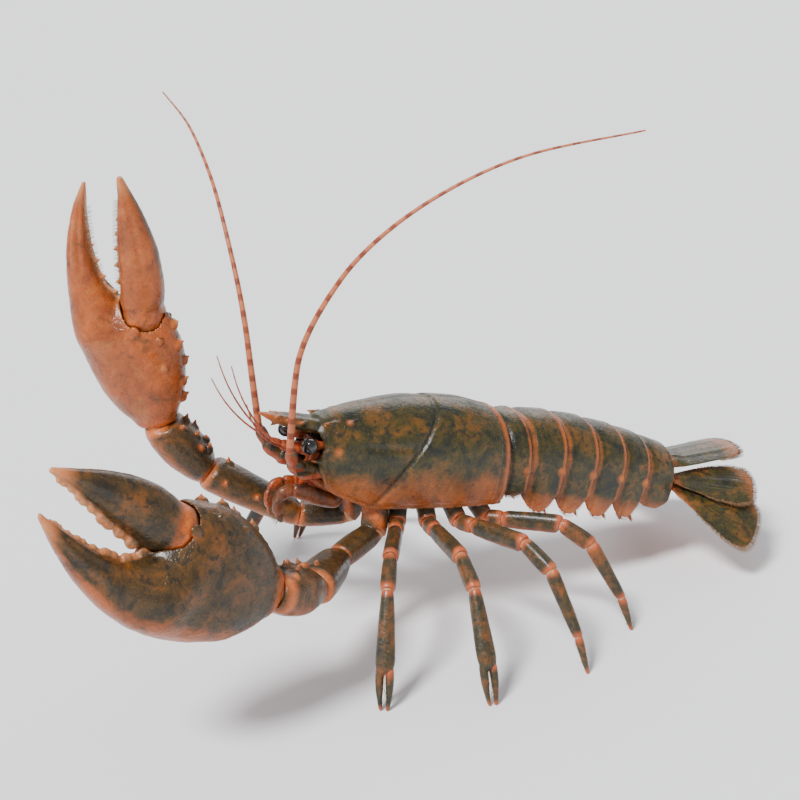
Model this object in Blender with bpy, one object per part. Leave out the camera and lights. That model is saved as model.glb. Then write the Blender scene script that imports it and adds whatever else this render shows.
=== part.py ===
"""An adult American lobster standing on its walking legs, one claw raised and one held out in front.

Metres, +Z up. The animal faces -Y and its left side is at +X. The head, thorax, tail and mouth parts
are modelled in the trunk's own frame: origin under the middle of the carapace's rear edge, on the
plane of the underside, Y towards the tail. That frame is tipped nose up and set on the legs. The
legs, arms, claws and long feelers are modelled straight in the standing frame.
"""

import math

import bmesh
import bpy
from mathutils import Matrix, Vector

# Clearance between pieces that touch, and the whole model's place over the origin
GAP = 0.0003
MODEL_SHIFT = Vector((0.0384, 0.0064, 0.0))

# Trunk: where it is held, and the size of the carapace from eye socket to rear edge
TRUNK_AT = Vector((0.0, 0.045, 0.068))
TRUNK_PITCH = math.radians(8.0)
CARAPACE_LENGTH = 0.118
CARAPACE_HALF_WIDTH = 0.0325
CARAPACE_HEIGHT = 0.060
GROOVE_AT = 0.458
GROOVE_LEAN = 0.71
GROOVE_DEPTH, GROOVE_WIDTH = 0.0011, 0.022
HEAD_UNDERSIDE_RISE = 0.013
HEAD_UNDERSIDE_END = -0.0855
# Its outline: where the underside and the flank end round it, how wide the flat of the underside is as a
# share of the half width, and how high the widest place is as a share of the height
UNDERSIDE_UNTIL, FLANK_UNTIL = 0.2, 0.45
UNDERSIDE_FLAT, WIDEST_AT = 0.80, 0.42
CARAPACE_POWER = 2.15
CARAPACE_WIDTHS = ((0, .53), (.12, .66), (.3, .83), (.55, .95), (.8, 1.0), (.95, .97), (1, .93))
CARAPACE_TOPS = ((0, .80), (.1, .87), (.3, .95), (.55, 1.0), (.8, .97), (.95, .90), (1, .88))
ROSTRUM_LENGTH = 0.032
ROSTRUM_POINTS = 10
# Rostrum sections: how far out from the eye sockets, half width, half height and height
ROSTRUM = ((-.014, .0098, .0050, .0425), (-.004, .0094, .0046, .0447), (.006, .0082, .0046, .0462),
           (.016, .0060, .0037, .0478), (.025, .0034, .0021, .0498), (ROSTRUM_LENGTH, .0007, .0006, .0525))
# Spines: along the rostrum's sides (out, side, height, length), then behind the eyes (with radius)
ROSTRUM_SPINES = ((.006, .0075, .0475, .0052), (.0135, .0058, .0490, .0050), (.0205, .0040, .0505, .0040))
ROSTRUM_SPINE_RADIUS = 0.0014
HEAD_SPINES = ((-.010, .0112, .0475, .0075, .0020), (-.001, .0160, .0275, .0060, .0018),
               (-.022, .0135, .0490, .0045, .0016))
# Where the rings of the carapace are, from eye socket 0 to rear edge 1
HEAD_RINGS = (0, .06, .14, .24, .34, .415, .44, GROOVE_AT)
THORAX_RINGS = (GROOVE_AT, .476, .50, .58, .68, .78, .88, .955, .975, 1)
CARAPACE_SIDE_POINTS = 14

# Tail: one entry for each ring of shell, then the size of the joints between them
TAIL_LENGTHS = (0.014, 0.024, 0.023, 0.022, 0.021, 0.024)
TAIL_BENDS = (0.0, -2.5, -3.0, -2.5, -1.0, 1.5, 3.0)
TAIL_HALF_WIDTHS = (0.0275, 0.0290, 0.0292, 0.0286, 0.0275, 0.0258, 0.0230)
TAIL_HEIGHTS = (0.0410, 0.0425, 0.0420, 0.0405, 0.0385, 0.0355, 0.0305)
TAIL_FLAPS = (0.003, 0.013, 0.014, 0.014, 0.013, 0.006)
TAIL_BELLY = 0.008
TAIL_RINGS = (0, .25, .6, .85, 1)
TAIL_SIDE_POINTS = 14
TAIL_WAIST, TAIL_POWER = 0.36, 2.1
TAIL_SWELL = ((0, .93), (.22, .975), (.75, 1.0), (.93, 1.0), (1, .975))
FLAP_OUTLINE = ((0, .25), (.3, .85), (.6, 1.0), (.82, .75), (1, .22))
# Swimmerets: place along their ring, stalk, and the paddles' length and (share, half width) outline
SWIMMERET_AT, SWIMMERET_SIDE = 0.42, 0.56
STALK_ROOT, STALK_FOOT = (0, 0, 0.0025), (0.001, 0.003, -0.007)
STALK_ROOT_SIZE, STALK_FOOT_SIZE = (.0026, .0016), (.0022, .0014)
# Each paddle's way down and start under the stalk, the two of them leaning apart by the second
PADDLE_WAY, PADDLE_SPREAD = (0.10, 0.52, -0.82), (0.20, 0.12, 0)
PADDLE_START, PADDLE_START_SPREAD = (0, 0, 0.0026), (0.0011, 0.0003, 0)
PADDLE_LENGTH, PADDLE_THICKNESS = 0.0165, 0.0006
PADDLE_OUTLINE = ((0, .0016), (.3, .0030), (.65, .0034), (1, .0010))

# Claws: margins and thickness as shares of the claw's length, wrist to tip
CRUSHER = {
    "length": 0.140,
    "outer": ((0, -.078), (.06, -.135), (.2, -.225), (.4, -.262), (.6, -.232), (.78, -.155), (.92, -.05),
              (1, .025)),
    "palm": ((0, .078), (.06, .135), (.17, .205), (.33, .248), (.5, .235)),
    "inner": ((.5, -.025), (.58, -.042), (.7, -.036), (.84, -.008), (.94, .025), (1, .047)),
    "thick": ((0, .063), (.07, .098), (.25, .142), (.40, .148), (.5, .132)),
    "finger_thick": ((.5, .104), (.62, .093), (.78, .067), (.92, .036), (1, .011)),
    "thumb_outer": ((.5, .212), (.57, .228), (.68, .212), (.8, .168), (.91, .112), (.985, .072)),
    "thumb_inner": ((.5, .018), (.58, .016), (.7, .022), (.82, .036), (.92, .048), (.985, .052)),
    "open": 15.0,
    "teeth": (.029, .026, .7),
}
CUTTER = {
    "length": 0.146,
    "outer": ((0, -.074), (.06, -.118), (.2, -.178), (.38, -.200), (.6, -.172), (.78, -.118), (.92, -.045),
              (1, .018)),
    "palm": ((0, .074), (.06, .115), (.17, .165), (.32, .195), (.46, .185)),
    "inner": ((.46, -.015), (.56, -.035), (.7, -.038), (.85, -.014), (.94, .014), (1, .036)),
    "thick": ((0, .058), (.07, .085), (.22, .115), (.36, .12), (.46, .106)),
    "finger_thick": ((.46, .083), (.6, .072), (.78, .053), (.92, .030), (1, .010)),
    "thumb_outer": ((.46, .168), (.54, .182), (.68, .172), (.8, .140), (.91, .095), (.985, .058)),
    "thumb_inner": ((.46, .016), (.56, .016), (.7, .018), (.82, .028), (.92, .038), (.985, .040)),
    "open": 13.0,
    "teeth": (.014, .017, 1.5),
}
SHOULDER_LEAN = -0.22
SHOULDER_STEP = 0.010
CLAW_POWER = 2.2
HINGE_INSET = 0.04
# Where the rings of the palm, the fixed finger and the moving finger are, along the claw
PALM_RINGS = (0, .035, .1, .2, .32)
FIXED_FINGER_RINGS = (.66, .76, .86, .94, 1)
MOVING_FINGER_RINGS = (.63, .72, .81, .89, .95, .985)
OPENS_OVER = 0.12
# The hollow curve of the fixed finger's inner margin at its root, and the room it leaves there
GAPE_RINGS = (.035, .07, .105)
GAPE_FROM, GAPE_UNTIL = 0.045, 0.165
GAPE_ROOM = 0.006

# Arms: the joints of each cheliped, from the underside to the wrist, and where the claw points
ARMS = {
    "left": {
        "claw": CRUSHER, "side": 1,
        "coxa": (0.0165, -0.034, 0.0630), "hip": (0.028, -0.062, 0.0570),
        "elbow": (0.0699, -0.0984, 0.0647), "wrist": (0.0891, -0.1288, 0.0770),
        "points": (0.08, -0.87, 0.47), "thumb": (-0.30, 0.40, 0.86),
    },
    "right": {
        "claw": CUTTER, "side": -1,
        "coxa": (-0.0165, -0.034, 0.0630), "hip": (-0.028, -0.060, 0.0620),
        "elbow": (-0.0496, -0.1080, 0.0908), "wrist": (-0.0594, -0.1326, 0.1220),
        "points": (-0.05, -0.25, 0.96), "thumb": (0.66, 0.72, 0.20),
    },
}
ARM_ROOT = Vector((0.0125, -0.0760, 0.0))
ARM_ROOT_RADIUS = 0.0070
# Sections of the arms' stiff lengths: share along, half width, half height
MERUS = ((0, .0070, .0065), (.16, .0092, .0080), (.45, .0112, .0092), (.8, .0124, .0102), (.93, .0120, .0098),
         (1, .0098, .0080))
CARPUS = ((0, .0094, .0078), (.2, .0130, .0108), (.55, .0158, .0128), (.85, .0146, .0118), (1, .0103, .0082))
# Spines of the merus, upwards and inwards: share along, how far out, length and radius
MERUS_UPPER_SPINE = (.84, .0092, .0055, .0023)
MERUS_INNER_SPINES = ((.86, .0105, .0055, .0023), (.52, .0098, .0045, .0020))
# Spines of the carpus: share along and tilt inwards
CARPUS_SPINES = ((.30, .5), (.55, .5), (.55, -.35), (.78, .1), (.80, .95))
CARPUS_SPINE = (.0118, .0058, .0025)
PALM_SPINES = 5

# Walking legs, front to back: root on the underside, heading from straight out, reach to the toe
LEGS = (
    {"root": (0.0110, -0.0605), "heading": -32.0, "reach": 0.108, "pincer": True},
    {"root": (0.0125, -0.0455), "heading": -9.0, "reach": 0.114, "pincer": True},
    {"root": (0.0140, -0.0305), "heading": 17.0, "reach": 0.110, "pincer": False},
    {"root": (0.0150, -0.0155), "heading": 44.0, "reach": 0.100, "pincer": False},
)
LEG_ROOT_RADIUS = 0.0055
LEG_STOUTNESS = 1.14
LEG_COXA_OUT, LEG_COXA_DROP = 0.0105, 0.0100
LEG_KNEE_SHARE, LEG_KNEE_DROP = 0.56, 0.0085
LEG_SHIN_SHARE, LEG_SHIN_DROP = 0.74, 0.0190
LEG_ANKLE_SHARE, LEG_ANKLE_Z = 0.93, 0.0200
TOE_RADIUS = 0.0010
# Sections of a leg's lengths, and of the end of a leg with a pincer
LEG_THIGH = ((.16, .0040, .0042), (.26, .0036, .0040), (.34, .0039, .0045), (.65, .0038, .0048),
             (.92, .0040, .0048))
LEG_KNEE_END, LEG_KNEE_START = (.0032, .0036), (.0030, .0033)
LEG_SHIN = ((.3, .0035, .0040), (.8, .0036, .0042), (1, .0031, .0036))
LEG_ANKLE = ((.2, .0032, .0038), (.7, .0028, .0032))
LEG_ANKLE_END, LEG_TOE_START, LEG_TOE_MIDDLE = (.0021, .0024), (.0019, .0022), (.0017, .0020)
PINCER_PALM = ((.25, .0036, .0036), (.7, .0046, .0038), (.9, .0046, .0036), (1, .0045, .0034))
PINCER_HALF, PINCER_TIPS_APART = 0.0026, 0.0018
PINCER_FINGER_START, PINCER_FINGER_MIDDLE = (.0020, .0033), (.0016, .0024)

# Tail fan: root on the last ring, way out from the middle, droop, length and half width
FAN = {
    "telson": {"x": 0.0, "z": 0.0195, "out": 0.0, "length": 0.057, "half_width": 0.0195,
               "root": 0.0048,
               "widths": ((0, .62), (.15, .86), (.4, .95), (.7, 1.0), (.88, .93), (.96, .72), (1, .42))},
    "uropod_inner": {"x": 0.0165, "z": 0.0125, "out": 20.0, "length": 0.056, "half_width": 0.0170,
                     "root": 0.0019,
                     "widths": ((0, .28), (.2, .60), (.5, .92), (.75, 1.0), (.9, .84), (.97, .56), (1, .30))},
    "uropod_outer": {"x": 0.0170, "z": 0.0080, "out": 46.0, "length": 0.060, "half_width": 0.0185,
                     "root": 0.0019,
                     "widths": ((0, .23), (.2, .56), (.5, .90), (.75, 1.0), (.9, .86), (.97, .60), (1, .34))},
}
FAN_STEM = 0.004
FAN_RISE = 0.22
FAN_ARCH = 7.5
BLADE_THICKNESS = ((0, .0011), (.3, .0008), (.7, .00055), (1, .0004))
BLADE_RINGS = (0, .1, .22, .36, .52, .68, .82, .92, .975, 1)
BLADE_POINTS = 14
# The share of a blade's length over which it turns out from its root, and over which the root thins
BLADE_TURN, BLADE_ROOT = 0.1, 0.22

# Head: (out, radius) along an eye, then sections of the small feelers, the stout bases of the long ones
# with their scale, and the mouth legs, by side, way out from the eye sockets, height and half sizes
EYE_ROOT = (0.0108, 0.0352)
EYE_POINTS = (0.66, -0.72, 0.20)
EYE = ((.0024, .0027), (.0046, .0036), (.0062, .0044), (.0074, .0044), (.0094, .0043), (.0112, .0034),
       (.0123, .0021), (.0127, .0007))
ANTENNULE = ((.0042, GAP, .0300, .0022), (.0045, .004, .0306, .0025), (.0048, .0068, .0311, .0019),
             (.0051, .0110, .0320, .0021), (.0054, .0135, .0326, .0015), (.0058, .0175, .0338, .0018),
             (.0060, .0192, .0344, .0012))
# The two threads of a small feeler: spread, rise, length and where they start to the side
THREADS = ((.10, .62, .050, -.0006), (.42, .36, .044, .0006))
THREAD_START = (0.0058, 0.0180, 0.0340)
THREAD_RADIUS, THREAD_TIP_RADIUS = 0.0009, 0.00035
ANTENNA_BASE = ((.0115, GAP, .0212, .0043), (.0122, .0030, .0214, .0050), (.0134, .0075, .0222, .0052),
                (.0144, .0100, .0232, .0043), (.0158, .0128, .0252, .0046), (.0174, .0155, .0278, .0042),
                (.0182, .0168, .0296, .0034), (.0196, .0184, .0326, .0036), (.0206, .0195, .0355, .0031))
ANTENNA_END = (0.0210, 0.0205, 0.0365, 0.0025)
SCALE_ROOT = (0.0150, 0.0040, 0.0215)
SCALE_POINTS = (0.50, -0.86, 0.06)
SCALE = ((0, .0026), (.004, .0034), (.009, .0028), (.0135, .0006))
SCALE_THICKNESS = 0.0009
MOUTH_LEG_ROOT = (0.0085, -0.0200, 0.0034, 0.0038)
MOUTH_LEG = ((.0084, -.0172, .0002, .0038, .0040), (.0080, -.0100, .0030, .0036, .0046),
             (.0075, -.0030, .0054, .0034, .0050), (.0071, .0045, .0074, .0032, .0046),
             (.0069, .0095, .0080, .0026, .0036), (.0067, .0135, .0068, .0030, .0038),
             (.0065, .0160, .0032, .0023, .0030), (.0060, .0164, -.0020, .0027, .0034),
             (.0052, .0148, -.0078, .0019, .0024), (.0044, .0118, -.0122, .0006, .0007))

# Long feelers, each a smooth curve from the end of its base
FEELERS = {
    "left": ((0.0210, -0.0871, 0.1234), (0.0260, -0.0840, 0.1720), (0.0400, -0.0640, 0.2220),
             (0.0610, -0.0260, 0.2620), (0.0860, 0.0220, 0.2880), (0.1120, 0.0740, 0.3000)),
    "right": ((-0.0210, -0.0871, 0.1234), (-0.0290, -0.0890, 0.1720), (-0.0510, -0.0880, 0.2170),
              (-0.0910, -0.0830, 0.2540), (-0.1440, -0.0760, 0.2760), (-0.2030, -0.0680, 0.2840)),
}
FEELER_RADIUS = 0.0023
FEELER_TIP_RADIUS = 0.0005
FEELER_POINTS = 30

ACROSS = Vector((1, 0, 0))
UP = Vector((0, 0, 1))


def smooth(pairs, t):
    """The value at t of a smooth curve through (place, value) pairs, level beyond its ends."""
    if t <= pairs[0][0]:
        return pairs[0][1]
    if t >= pairs[-1][0]:
        return pairs[-1][1]
    rises = [(b[1] - a[1]) / (b[0] - a[0]) for a, b in zip(pairs, pairs[1:])]

    def slope(k):
        if k in (0, len(rises)):
            return rises[min(k, len(rises) - 1)]
        before, after = rises[k - 1], rises[k]
        return 0.0 if before * after <= 0 else 2 * before * after / (before + after)

    i = max(k for k in range(len(rises)) if pairs[k][0] <= t)
    (x0, y0), (x1, y1) = pairs[i], pairs[i + 1]
    h = x1 - x0
    s = (t - x0) / h
    return (y0 * (1 + 2 * s) * (1 - s) ** 2 + y1 * s * s * (3 - 2 * s)
            + h * slope(i) * s * (1 - s) ** 2 - h * slope(i + 1) * s * s * (1 - s))


def through(points, count):
    """Evenly timed points on a smooth curve through the given ones."""
    timed = [[(k, p[axis]) for k, p in enumerate(points)] for axis in range(3)]
    last = len(points) - 1
    return [Vector([smooth(axis, last * k / (count - 1)) for axis in timed]) for k in range(count)]


def power_of(value, power):
    """cos or sin made squarer: sign kept, magnitude raised to 2/power."""
    return math.copysign(abs(value) ** (2.0 / power), value)


def ring(centre, along, across, half_across, half_up, count, power=2.0):
    """One closed section square to along: half_across wide on across and half_up the other way."""
    along = along.normalized()
    side = (across - across.dot(along) * along).normalized()
    up = along.cross(side)
    points = []
    for k in range(count):
        angle = 2 * math.pi * (k + 0.5) / count
        points.append(centre + side * half_across * power_of(math.cos(angle), power)
                      + up * half_up * power_of(math.sin(angle), power))
    return points


def make_object(name, mesh, material):
    mesh.materials.clear()
    mesh.materials.append(material)
    mesh.shade_smooth()
    obj = bpy.data.objects.new(name, mesh)
    bpy.data.collections["lobster"].objects.link(obj)
    return obj


def loft(name, rings, material):
    """A closed body through the rings, which all have one number of points, capped at both ends."""
    bm = bmesh.new()
    rows = [[bm.verts.new(p) for p in points] for points in rings]
    count = len(rows[0])
    for near, far in zip(rows, rows[1:]):
        for k in range(count):
            bm.faces.new((near[k], near[(k + 1) % count], far[(k + 1) % count], far[k]))
    bm.faces.new(rows[0][::-1])
    bm.faces.new(rows[-1])
    bmesh.ops.recalc_face_normals(bm, faces=bm.faces)
    mesh = bpy.data.meshes.new(name)
    bm.to_mesh(mesh)
    bm.free()
    return make_object(name, mesh, material)


def spine(base, direction, length, radius, material, sides=6, tip=0.00025):
    """A cone whose root is sunk into what it grows from by a third of its length."""
    direction = Vector(direction).normalized()
    root = length / 3
    bm = bmesh.new()
    bmesh.ops.create_cone(bm, cap_ends=True, segments=sides, radius1=radius, radius2=tip,
                          depth=length + root)
    turn = direction.to_track_quat("Z", "Y").to_matrix().to_4x4()
    middle = Vector(base) + direction * (length - root) / 2
    bm.transform(Matrix.Translation(middle) @ turn)
    mesh = bpy.data.meshes.new("spine")
    bm.to_mesh(mesh)
    bm.free()
    return make_object("spine", mesh, material)


def knob(centre, radius, material, height=1.0, direction=(0, 0, 1)):
    """A low rounded tooth, centred on the surface it grows from."""
    bm = bmesh.new()
    bmesh.ops.create_uvsphere(bm, u_segments=7, v_segments=5, radius=radius)
    turn = Vector(direction).to_track_quat("Z", "Y").to_matrix().to_4x4()
    bm.transform(Matrix.Translation(centre) @ turn @ Matrix.Diagonal((1, 1, height, 1)))
    mesh = bpy.data.meshes.new("knob")
    bm.to_mesh(mesh)
    bm.free()
    return make_object("knob", mesh, material)


def islands_of(bm):
    """The mesh's separate surfaces, each as a set of faces."""
    left, found = set(bm.faces), []
    while left:
        grown = [left.pop()]
        island = set(grown)
        while grown:
            face = grown.pop()
            for edge in face.edges:
                for other in edge.link_faces:
                    if other in left:
                        left.remove(other)
                        island.add(other)
                        grown.append(other)
        found.append(island)
    return found


def keep_largest(mesh):
    """Drops every closed surface but the one that covers the most area."""
    bm = bmesh.new()
    bm.from_mesh(mesh)
    islands = sorted(islands_of(bm), key=lambda faces: sum(f.calc_area() for f in faces))
    scraps = [face for island in islands[:-1] for face in island]
    bmesh.ops.delete(bm, geom=scraps, context="FACES")
    bm.to_mesh(mesh)
    bm.free()


def fuse(base, pieces, solver="EXACT"):
    """Joins the pieces to the base by one Boolean union and removes them."""
    group = bpy.data.collections.new("fused")
    bpy.context.scene.collection.children.link(group)
    for piece in pieces:
        bpy.data.collections["lobster"].objects.unlink(piece)
        group.objects.link(piece)
    union = base.modifiers.new("union", "BOOLEAN")
    union.operation = "UNION"
    union.operand_type = "COLLECTION"
    union.collection = group
    union.solver = solver
    bpy.context.view_layer.update()
    mesh = bpy.data.meshes.new_from_object(base.evaluated_get(bpy.context.evaluated_depsgraph_get()))
    base.modifiers.clear()
    base.data = mesh
    for piece in pieces:
        bpy.data.objects.remove(piece)
    bpy.data.collections.remove(group)
    keep_largest(mesh)
    return base


def mirrored(way, side):
    """A direction given for the left side, on the side asked for."""
    return Vector((side * way[0], way[1], way[2]))


def material_of(name, colour, roughness):
    material = bpy.data.materials.new(name)
    material.use_nodes = True
    shader = material.node_tree.nodes["Principled BSDF"]
    shader.inputs["Base Color"].default_value = (*colour, 1.0)
    shader.inputs["Roughness"].default_value = roughness
    material.diffuse_color = (*colour, 1.0)
    return material


# The trunk

def carapace_point(share, y):
    """(x, z) on the carapace's right-hand outline at y, share 0 under the middle to 1 on the back."""
    t = 1 + y / CARAPACE_LENGTH
    width = CARAPACE_HALF_WIDTH * smooth(CARAPACE_WIDTHS, t)
    top = CARAPACE_HEIGHT * smooth(CARAPACE_TOPS, t)
    rise = (HEAD_UNDERSIDE_END - y) / (HEAD_UNDERSIDE_END + CARAPACE_LENGTH)
    bottom = HEAD_UNDERSIDE_RISE * max(0.0, rise)
    flat, waist = UNDERSIDE_FLAT * width, bottom + WIDEST_AT * (top - bottom)
    if share < UNDERSIDE_UNTIL:
        return flat * share / UNDERSIDE_UNTIL, bottom
    if share < FLANK_UNTIL:
        turn = (share - UNDERSIDE_UNTIL) / (FLANK_UNTIL - UNDERSIDE_UNTIL) * math.pi / 2
        return flat + (width - flat) * math.sin(turn), bottom + (waist - bottom) * (1 - math.cos(turn))
    turn = (share - FLANK_UNTIL) / (1 - FLANK_UNTIL) * math.pi / 2
    return (width * power_of(math.cos(turn), CARAPACE_POWER),
            waist + (top - waist) * power_of(math.sin(turn), CARAPACE_POWER))


def carapace_ring(t, half_count, shrink=0.0):
    """A ring of the carapace, leaning most at the groove between head and thorax."""
    lean = GROOVE_LEAN * (t / GROOVE_AT if t < GROOVE_AT else (1 - t) / (1 - GROOVE_AT))
    y0 = CARAPACE_LENGTH * (t - 1)
    half = []
    for k in range(half_count + 1):
        share, y = k / half_count, y0
        for _ in range(4):
            x, z = carapace_point(share, y)
            y = y0 + lean * (z - CARAPACE_HEIGHT / 2)
        if share > UNDERSIDE_UNTIL:
            inward = Vector((x, 0.0, z - CARAPACE_HEIGHT * WIDEST_AT)).normalized()
            x, z = x - shrink * inward.x, z - shrink * inward.z
        half.append(Vector((x, y, z)))
    other = [Vector((-p.x, p.y, p.z)) for p in half[-2:0:-1]]
    return half + other


def shifted(points, offset):
    return [p + Vector(offset) for p in points]


def groove_shrink(t):
    return GROOVE_DEPTH * math.exp(-((t - GROOVE_AT) / GROOVE_WIDTH) ** 2)


def in_front(side, x, out, z):
    """A place beside the middle, out in front of the eye sockets, in the trunk's frame."""
    return Vector((side * x, -CARAPACE_LENGTH - out, z))


def make_head(shell):
    rings = [carapace_ring(t, CARAPACE_SIDE_POINTS, groove_shrink(t)) for t in HEAD_RINGS]
    head = loft("head", rings, shell)
    beak = [ring(in_front(1, 0, out, z), Vector((0, -1, 0.08)), ACROSS, half_width, half_height,
                 ROSTRUM_POINTS, 2.4)
            for out, half_width, half_height, z in ROSTRUM]
    pieces = [loft("rostrum", beak, shell)]
    for side in (-1, 1):
        for out, x, z, length in ROSTRUM_SPINES:
            pieces.append(spine(in_front(side, x, out, z), (side * .45, -.85, .25), length,
                                ROSTRUM_SPINE_RADIUS, shell))
        for out, x, z, length, radius in HEAD_SPINES:
            pieces.append(spine(in_front(side, x, out, z), (side * .15, -1, .18), length, radius, shell))
    return fuse(head, pieces)


def make_thorax(shell):
    rings = [carapace_ring(t, CARAPACE_SIDE_POINTS, groove_shrink(t)) for t in THORAX_RINGS]
    rings[0] = shifted(rings[0], (0, GAP / math.cos(math.atan(GROOVE_LEAN)), 0))
    return loft("thorax", rings, shell)


def tail_frame(a):
    """Frame of the tail at a, counted in rings from the carapace: origin on the belly, Y along it."""
    at, bend = Vector((0, GAP, TAIL_BELLY)), 0.0
    for k, length in enumerate(TAIL_LENGTHS):
        share = min(max(a - k, 0.0), 1.0)
        before = bend
        bend += math.radians(TAIL_BENDS[k + 1]) * share
        heading = (before + bend) / 2
        at = at + Vector((0, math.cos(heading), math.sin(heading))) * length * share
    return Matrix.Translation(at) @ Matrix.Rotation(bend, 4, "X")


def tail_outline(k, share, half_count):
    """Half an outline of ring k of the tail in its frame: belly, side flap, side and back."""
    width = TAIL_HALF_WIDTHS[k] * (1 - share) + TAIL_HALF_WIDTHS[k + 1] * share
    height = TAIL_HEIGHTS[k] * (1 - share) + TAIL_HEIGHTS[k + 1] * share
    swell = smooth(TAIL_SWELL, share)
    flap = TAIL_FLAPS[k] * smooth(FLAP_OUTLINE, share)
    width, height = width * swell, height * swell
    waist = TAIL_WAIST * height
    points = [Vector((0, 0, 0)), Vector((0.45 * width, 0, 0)), Vector((0.80 * width, 0, 0)),
              Vector((0.885 * width, 0, -0.72 * flap - 0.0004)), Vector((0.925 * width, 0, -flap - 0.0008)),
              Vector((0.955 * width, 0, -0.72 * flap)), Vector((0.985 * width, 0, 0.10 * waist))]
    arch = half_count - len(points) + 1
    for i in range(arch):
        turn = math.pi / 2 * i / (arch - 1)
        points.append(Vector((width * power_of(math.cos(turn), TAIL_POWER), 0,
                              waist + (height - waist) * power_of(math.sin(turn), TAIL_POWER))))
    return points


def tail_ring(k, share, half_count):
    frame = tail_frame(k + share)
    half = tail_outline(k, share, half_count)
    other = [Vector((-p.x, p.y, p.z)) for p in half[-2:0:-1]]
    return [frame @ p for p in half + other]


def swimmeret(k, side, shell):
    """The stalk and two small paddles that hang under one side of ring k of the tail."""
    frame = tail_frame(k + SWIMMERET_AT)
    turn = frame.to_3x3()
    middle = Vector((side * TAIL_HALF_WIDTHS[k] * SWIMMERET_SIDE, 0, 0))
    root = frame @ (middle + mirrored(STALK_ROOT, side))
    foot = frame @ (middle + mirrored(STALK_FOOT, side))
    stalk = loft("stalk", [ring(root, turn @ -UP, ACROSS, *STALK_ROOT_SIZE, 6),
                           ring(foot, turn @ Vector((0, .3, -1)), ACROSS, *STALK_FOOT_SIZE, 6)], shell)
    parts = [stalk]
    for lean in (-1, 1):
        way = turn @ (mirrored(PADDLE_WAY, side) + lean * mirrored(PADDLE_SPREAD, side)).normalized()
        start = foot + turn @ (mirrored(PADDLE_START, side) + lean * mirrored(PADDLE_START_SPREAD, side))
        rings = [ring(start + way * PADDLE_LENGTH * share, way, ACROSS, half_width, PADDLE_THICKNESS, 6)
                 for share, half_width in PADDLE_OUTLINE]
        parts.append(loft("paddle", rings, shell))
    return parts


def make_tail(shell):
    for k in range(len(TAIL_LENGTHS)):
        rings = [tail_ring(k, share, TAIL_SIDE_POINTS) for share in TAIL_RINGS]
        back = tail_frame(k + 1).to_3x3() @ Vector((0, -1, 0))
        rings[-1] = shifted(rings[-1], back * GAP)
        segment = loft(f"abdomen_{k + 1}", rings, shell)
        if 1 <= k <= 4:
            fuse(segment, swimmeret(k, 1, shell) + swimmeret(k, -1, shell))


def blade(name, side, sizes, shell):
    """A paddle of the tail fan: thick at its root, thin and rounded at its end, slightly arched."""
    frame = tail_frame(len(TAIL_LENGTHS))
    turn = Matrix.Rotation(-side * math.radians(sizes["out"]), 3, "Z")
    root = Vector((side * sizes["x"], GAP, sizes["z"]))
    thick = sizes["root"] - BLADE_THICKNESS[0][1]
    rings = []
    for t in BLADE_RINGS:
        half_width = sizes["half_width"] * smooth(sizes["widths"], t)
        half_thick = smooth(BLADE_THICKNESS, t) + thick * max(0.0, 1 - t / BLADE_ROOT)
        ease = min(1.0, t / BLADE_TURN)
        points = []
        for i in range(BLADE_POINTS):
            angle = 2 * math.pi * (i + 0.5) / BLADE_POINTS
            x = half_width * power_of(math.cos(angle), 2.2)
            z = half_thick * power_of(math.sin(angle), 2.2)
            swung = turn @ Vector((x, sizes["length"] * t, 0)) * ease + Vector((x, 0, 0)) * (1 - ease)
            swung.y += FAN_STEM * ease
            point = root + swung + Vector((0, 0, z))
            point.z += ease * (FAN_RISE * swung.y - FAN_ARCH * point.x ** 2)
            points.append(frame @ point)
        rings.append(points)
    return loft(name, rings, shell)


def make_tail_fan(shell):
    blade("telson", 1, FAN["telson"], shell)
    for side, word in ((1, "left"), (-1, "right")):
        for kind in ("uropod_inner", "uropod_outer"):
            blade(f"{kind}_{word}", side, FAN[kind], shell)


# Eyes, feelers and mouth legs

def make_eye(word, side, black):
    start = in_front(side, EYE_ROOT[0], GAP, EYE_ROOT[1])
    way = mirrored(EYE_POINTS, side).normalized()
    rings = [ring(start, Vector((0, -1, 0)), UP, .0028, .0026, 12)]
    rings += [ring(start + way * out, way, UP, radius, radius, 12) for out, radius in EYE]
    return loft(f"eye_{word}", rings, black)


def feeler(name, points, radius, tip_radius, material, sides=6):
    """A thin tapering loft along the points."""
    rings = []
    for k, point in enumerate(points):
        before, after = points[max(k - 1, 0)], points[min(k + 1, len(points) - 1)]
        size = radius + (tip_radius - radius) * k / (len(points) - 1)
        rings.append(ring(point, after - before, Vector((1, 0.02, 0.01)), size, size, sides))
    return loft(name, rings, material)


def make_antennule(word, side, red):
    rings = []
    for k, (x, out, z, size) in enumerate(ANTENNULE):
        way = Vector((0, -1, 0.2 if k else 0))
        rings.append(ring(in_front(side, x, out, z), way, ACROSS, size, size, 8))
    base = loft(f"antennule_{word}", rings, red)
    threads = []
    for spread, rise, length, aside in THREADS:
        path = [in_front(side, THREAD_START[0], THREAD_START[1], THREAD_START[2])
                + Vector((side * (spread * length * s + aside), -length * s * (1 - 0.25 * s),
                          length * (rise * s + 0.35 * s * s))) for s in (0, .15, .35, .6, .8, 1)]
        threads.append(feeler("thread", path, THREAD_RADIUS, THREAD_TIP_RADIUS, red))
    return fuse(base, threads)


def trunk_point(x, y, z):
    """A point of the trunk's frame in the standing frame."""
    return TRUNK_AT + Matrix.Rotation(-TRUNK_PITCH, 3, "X") @ Vector((x, y, z))


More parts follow.
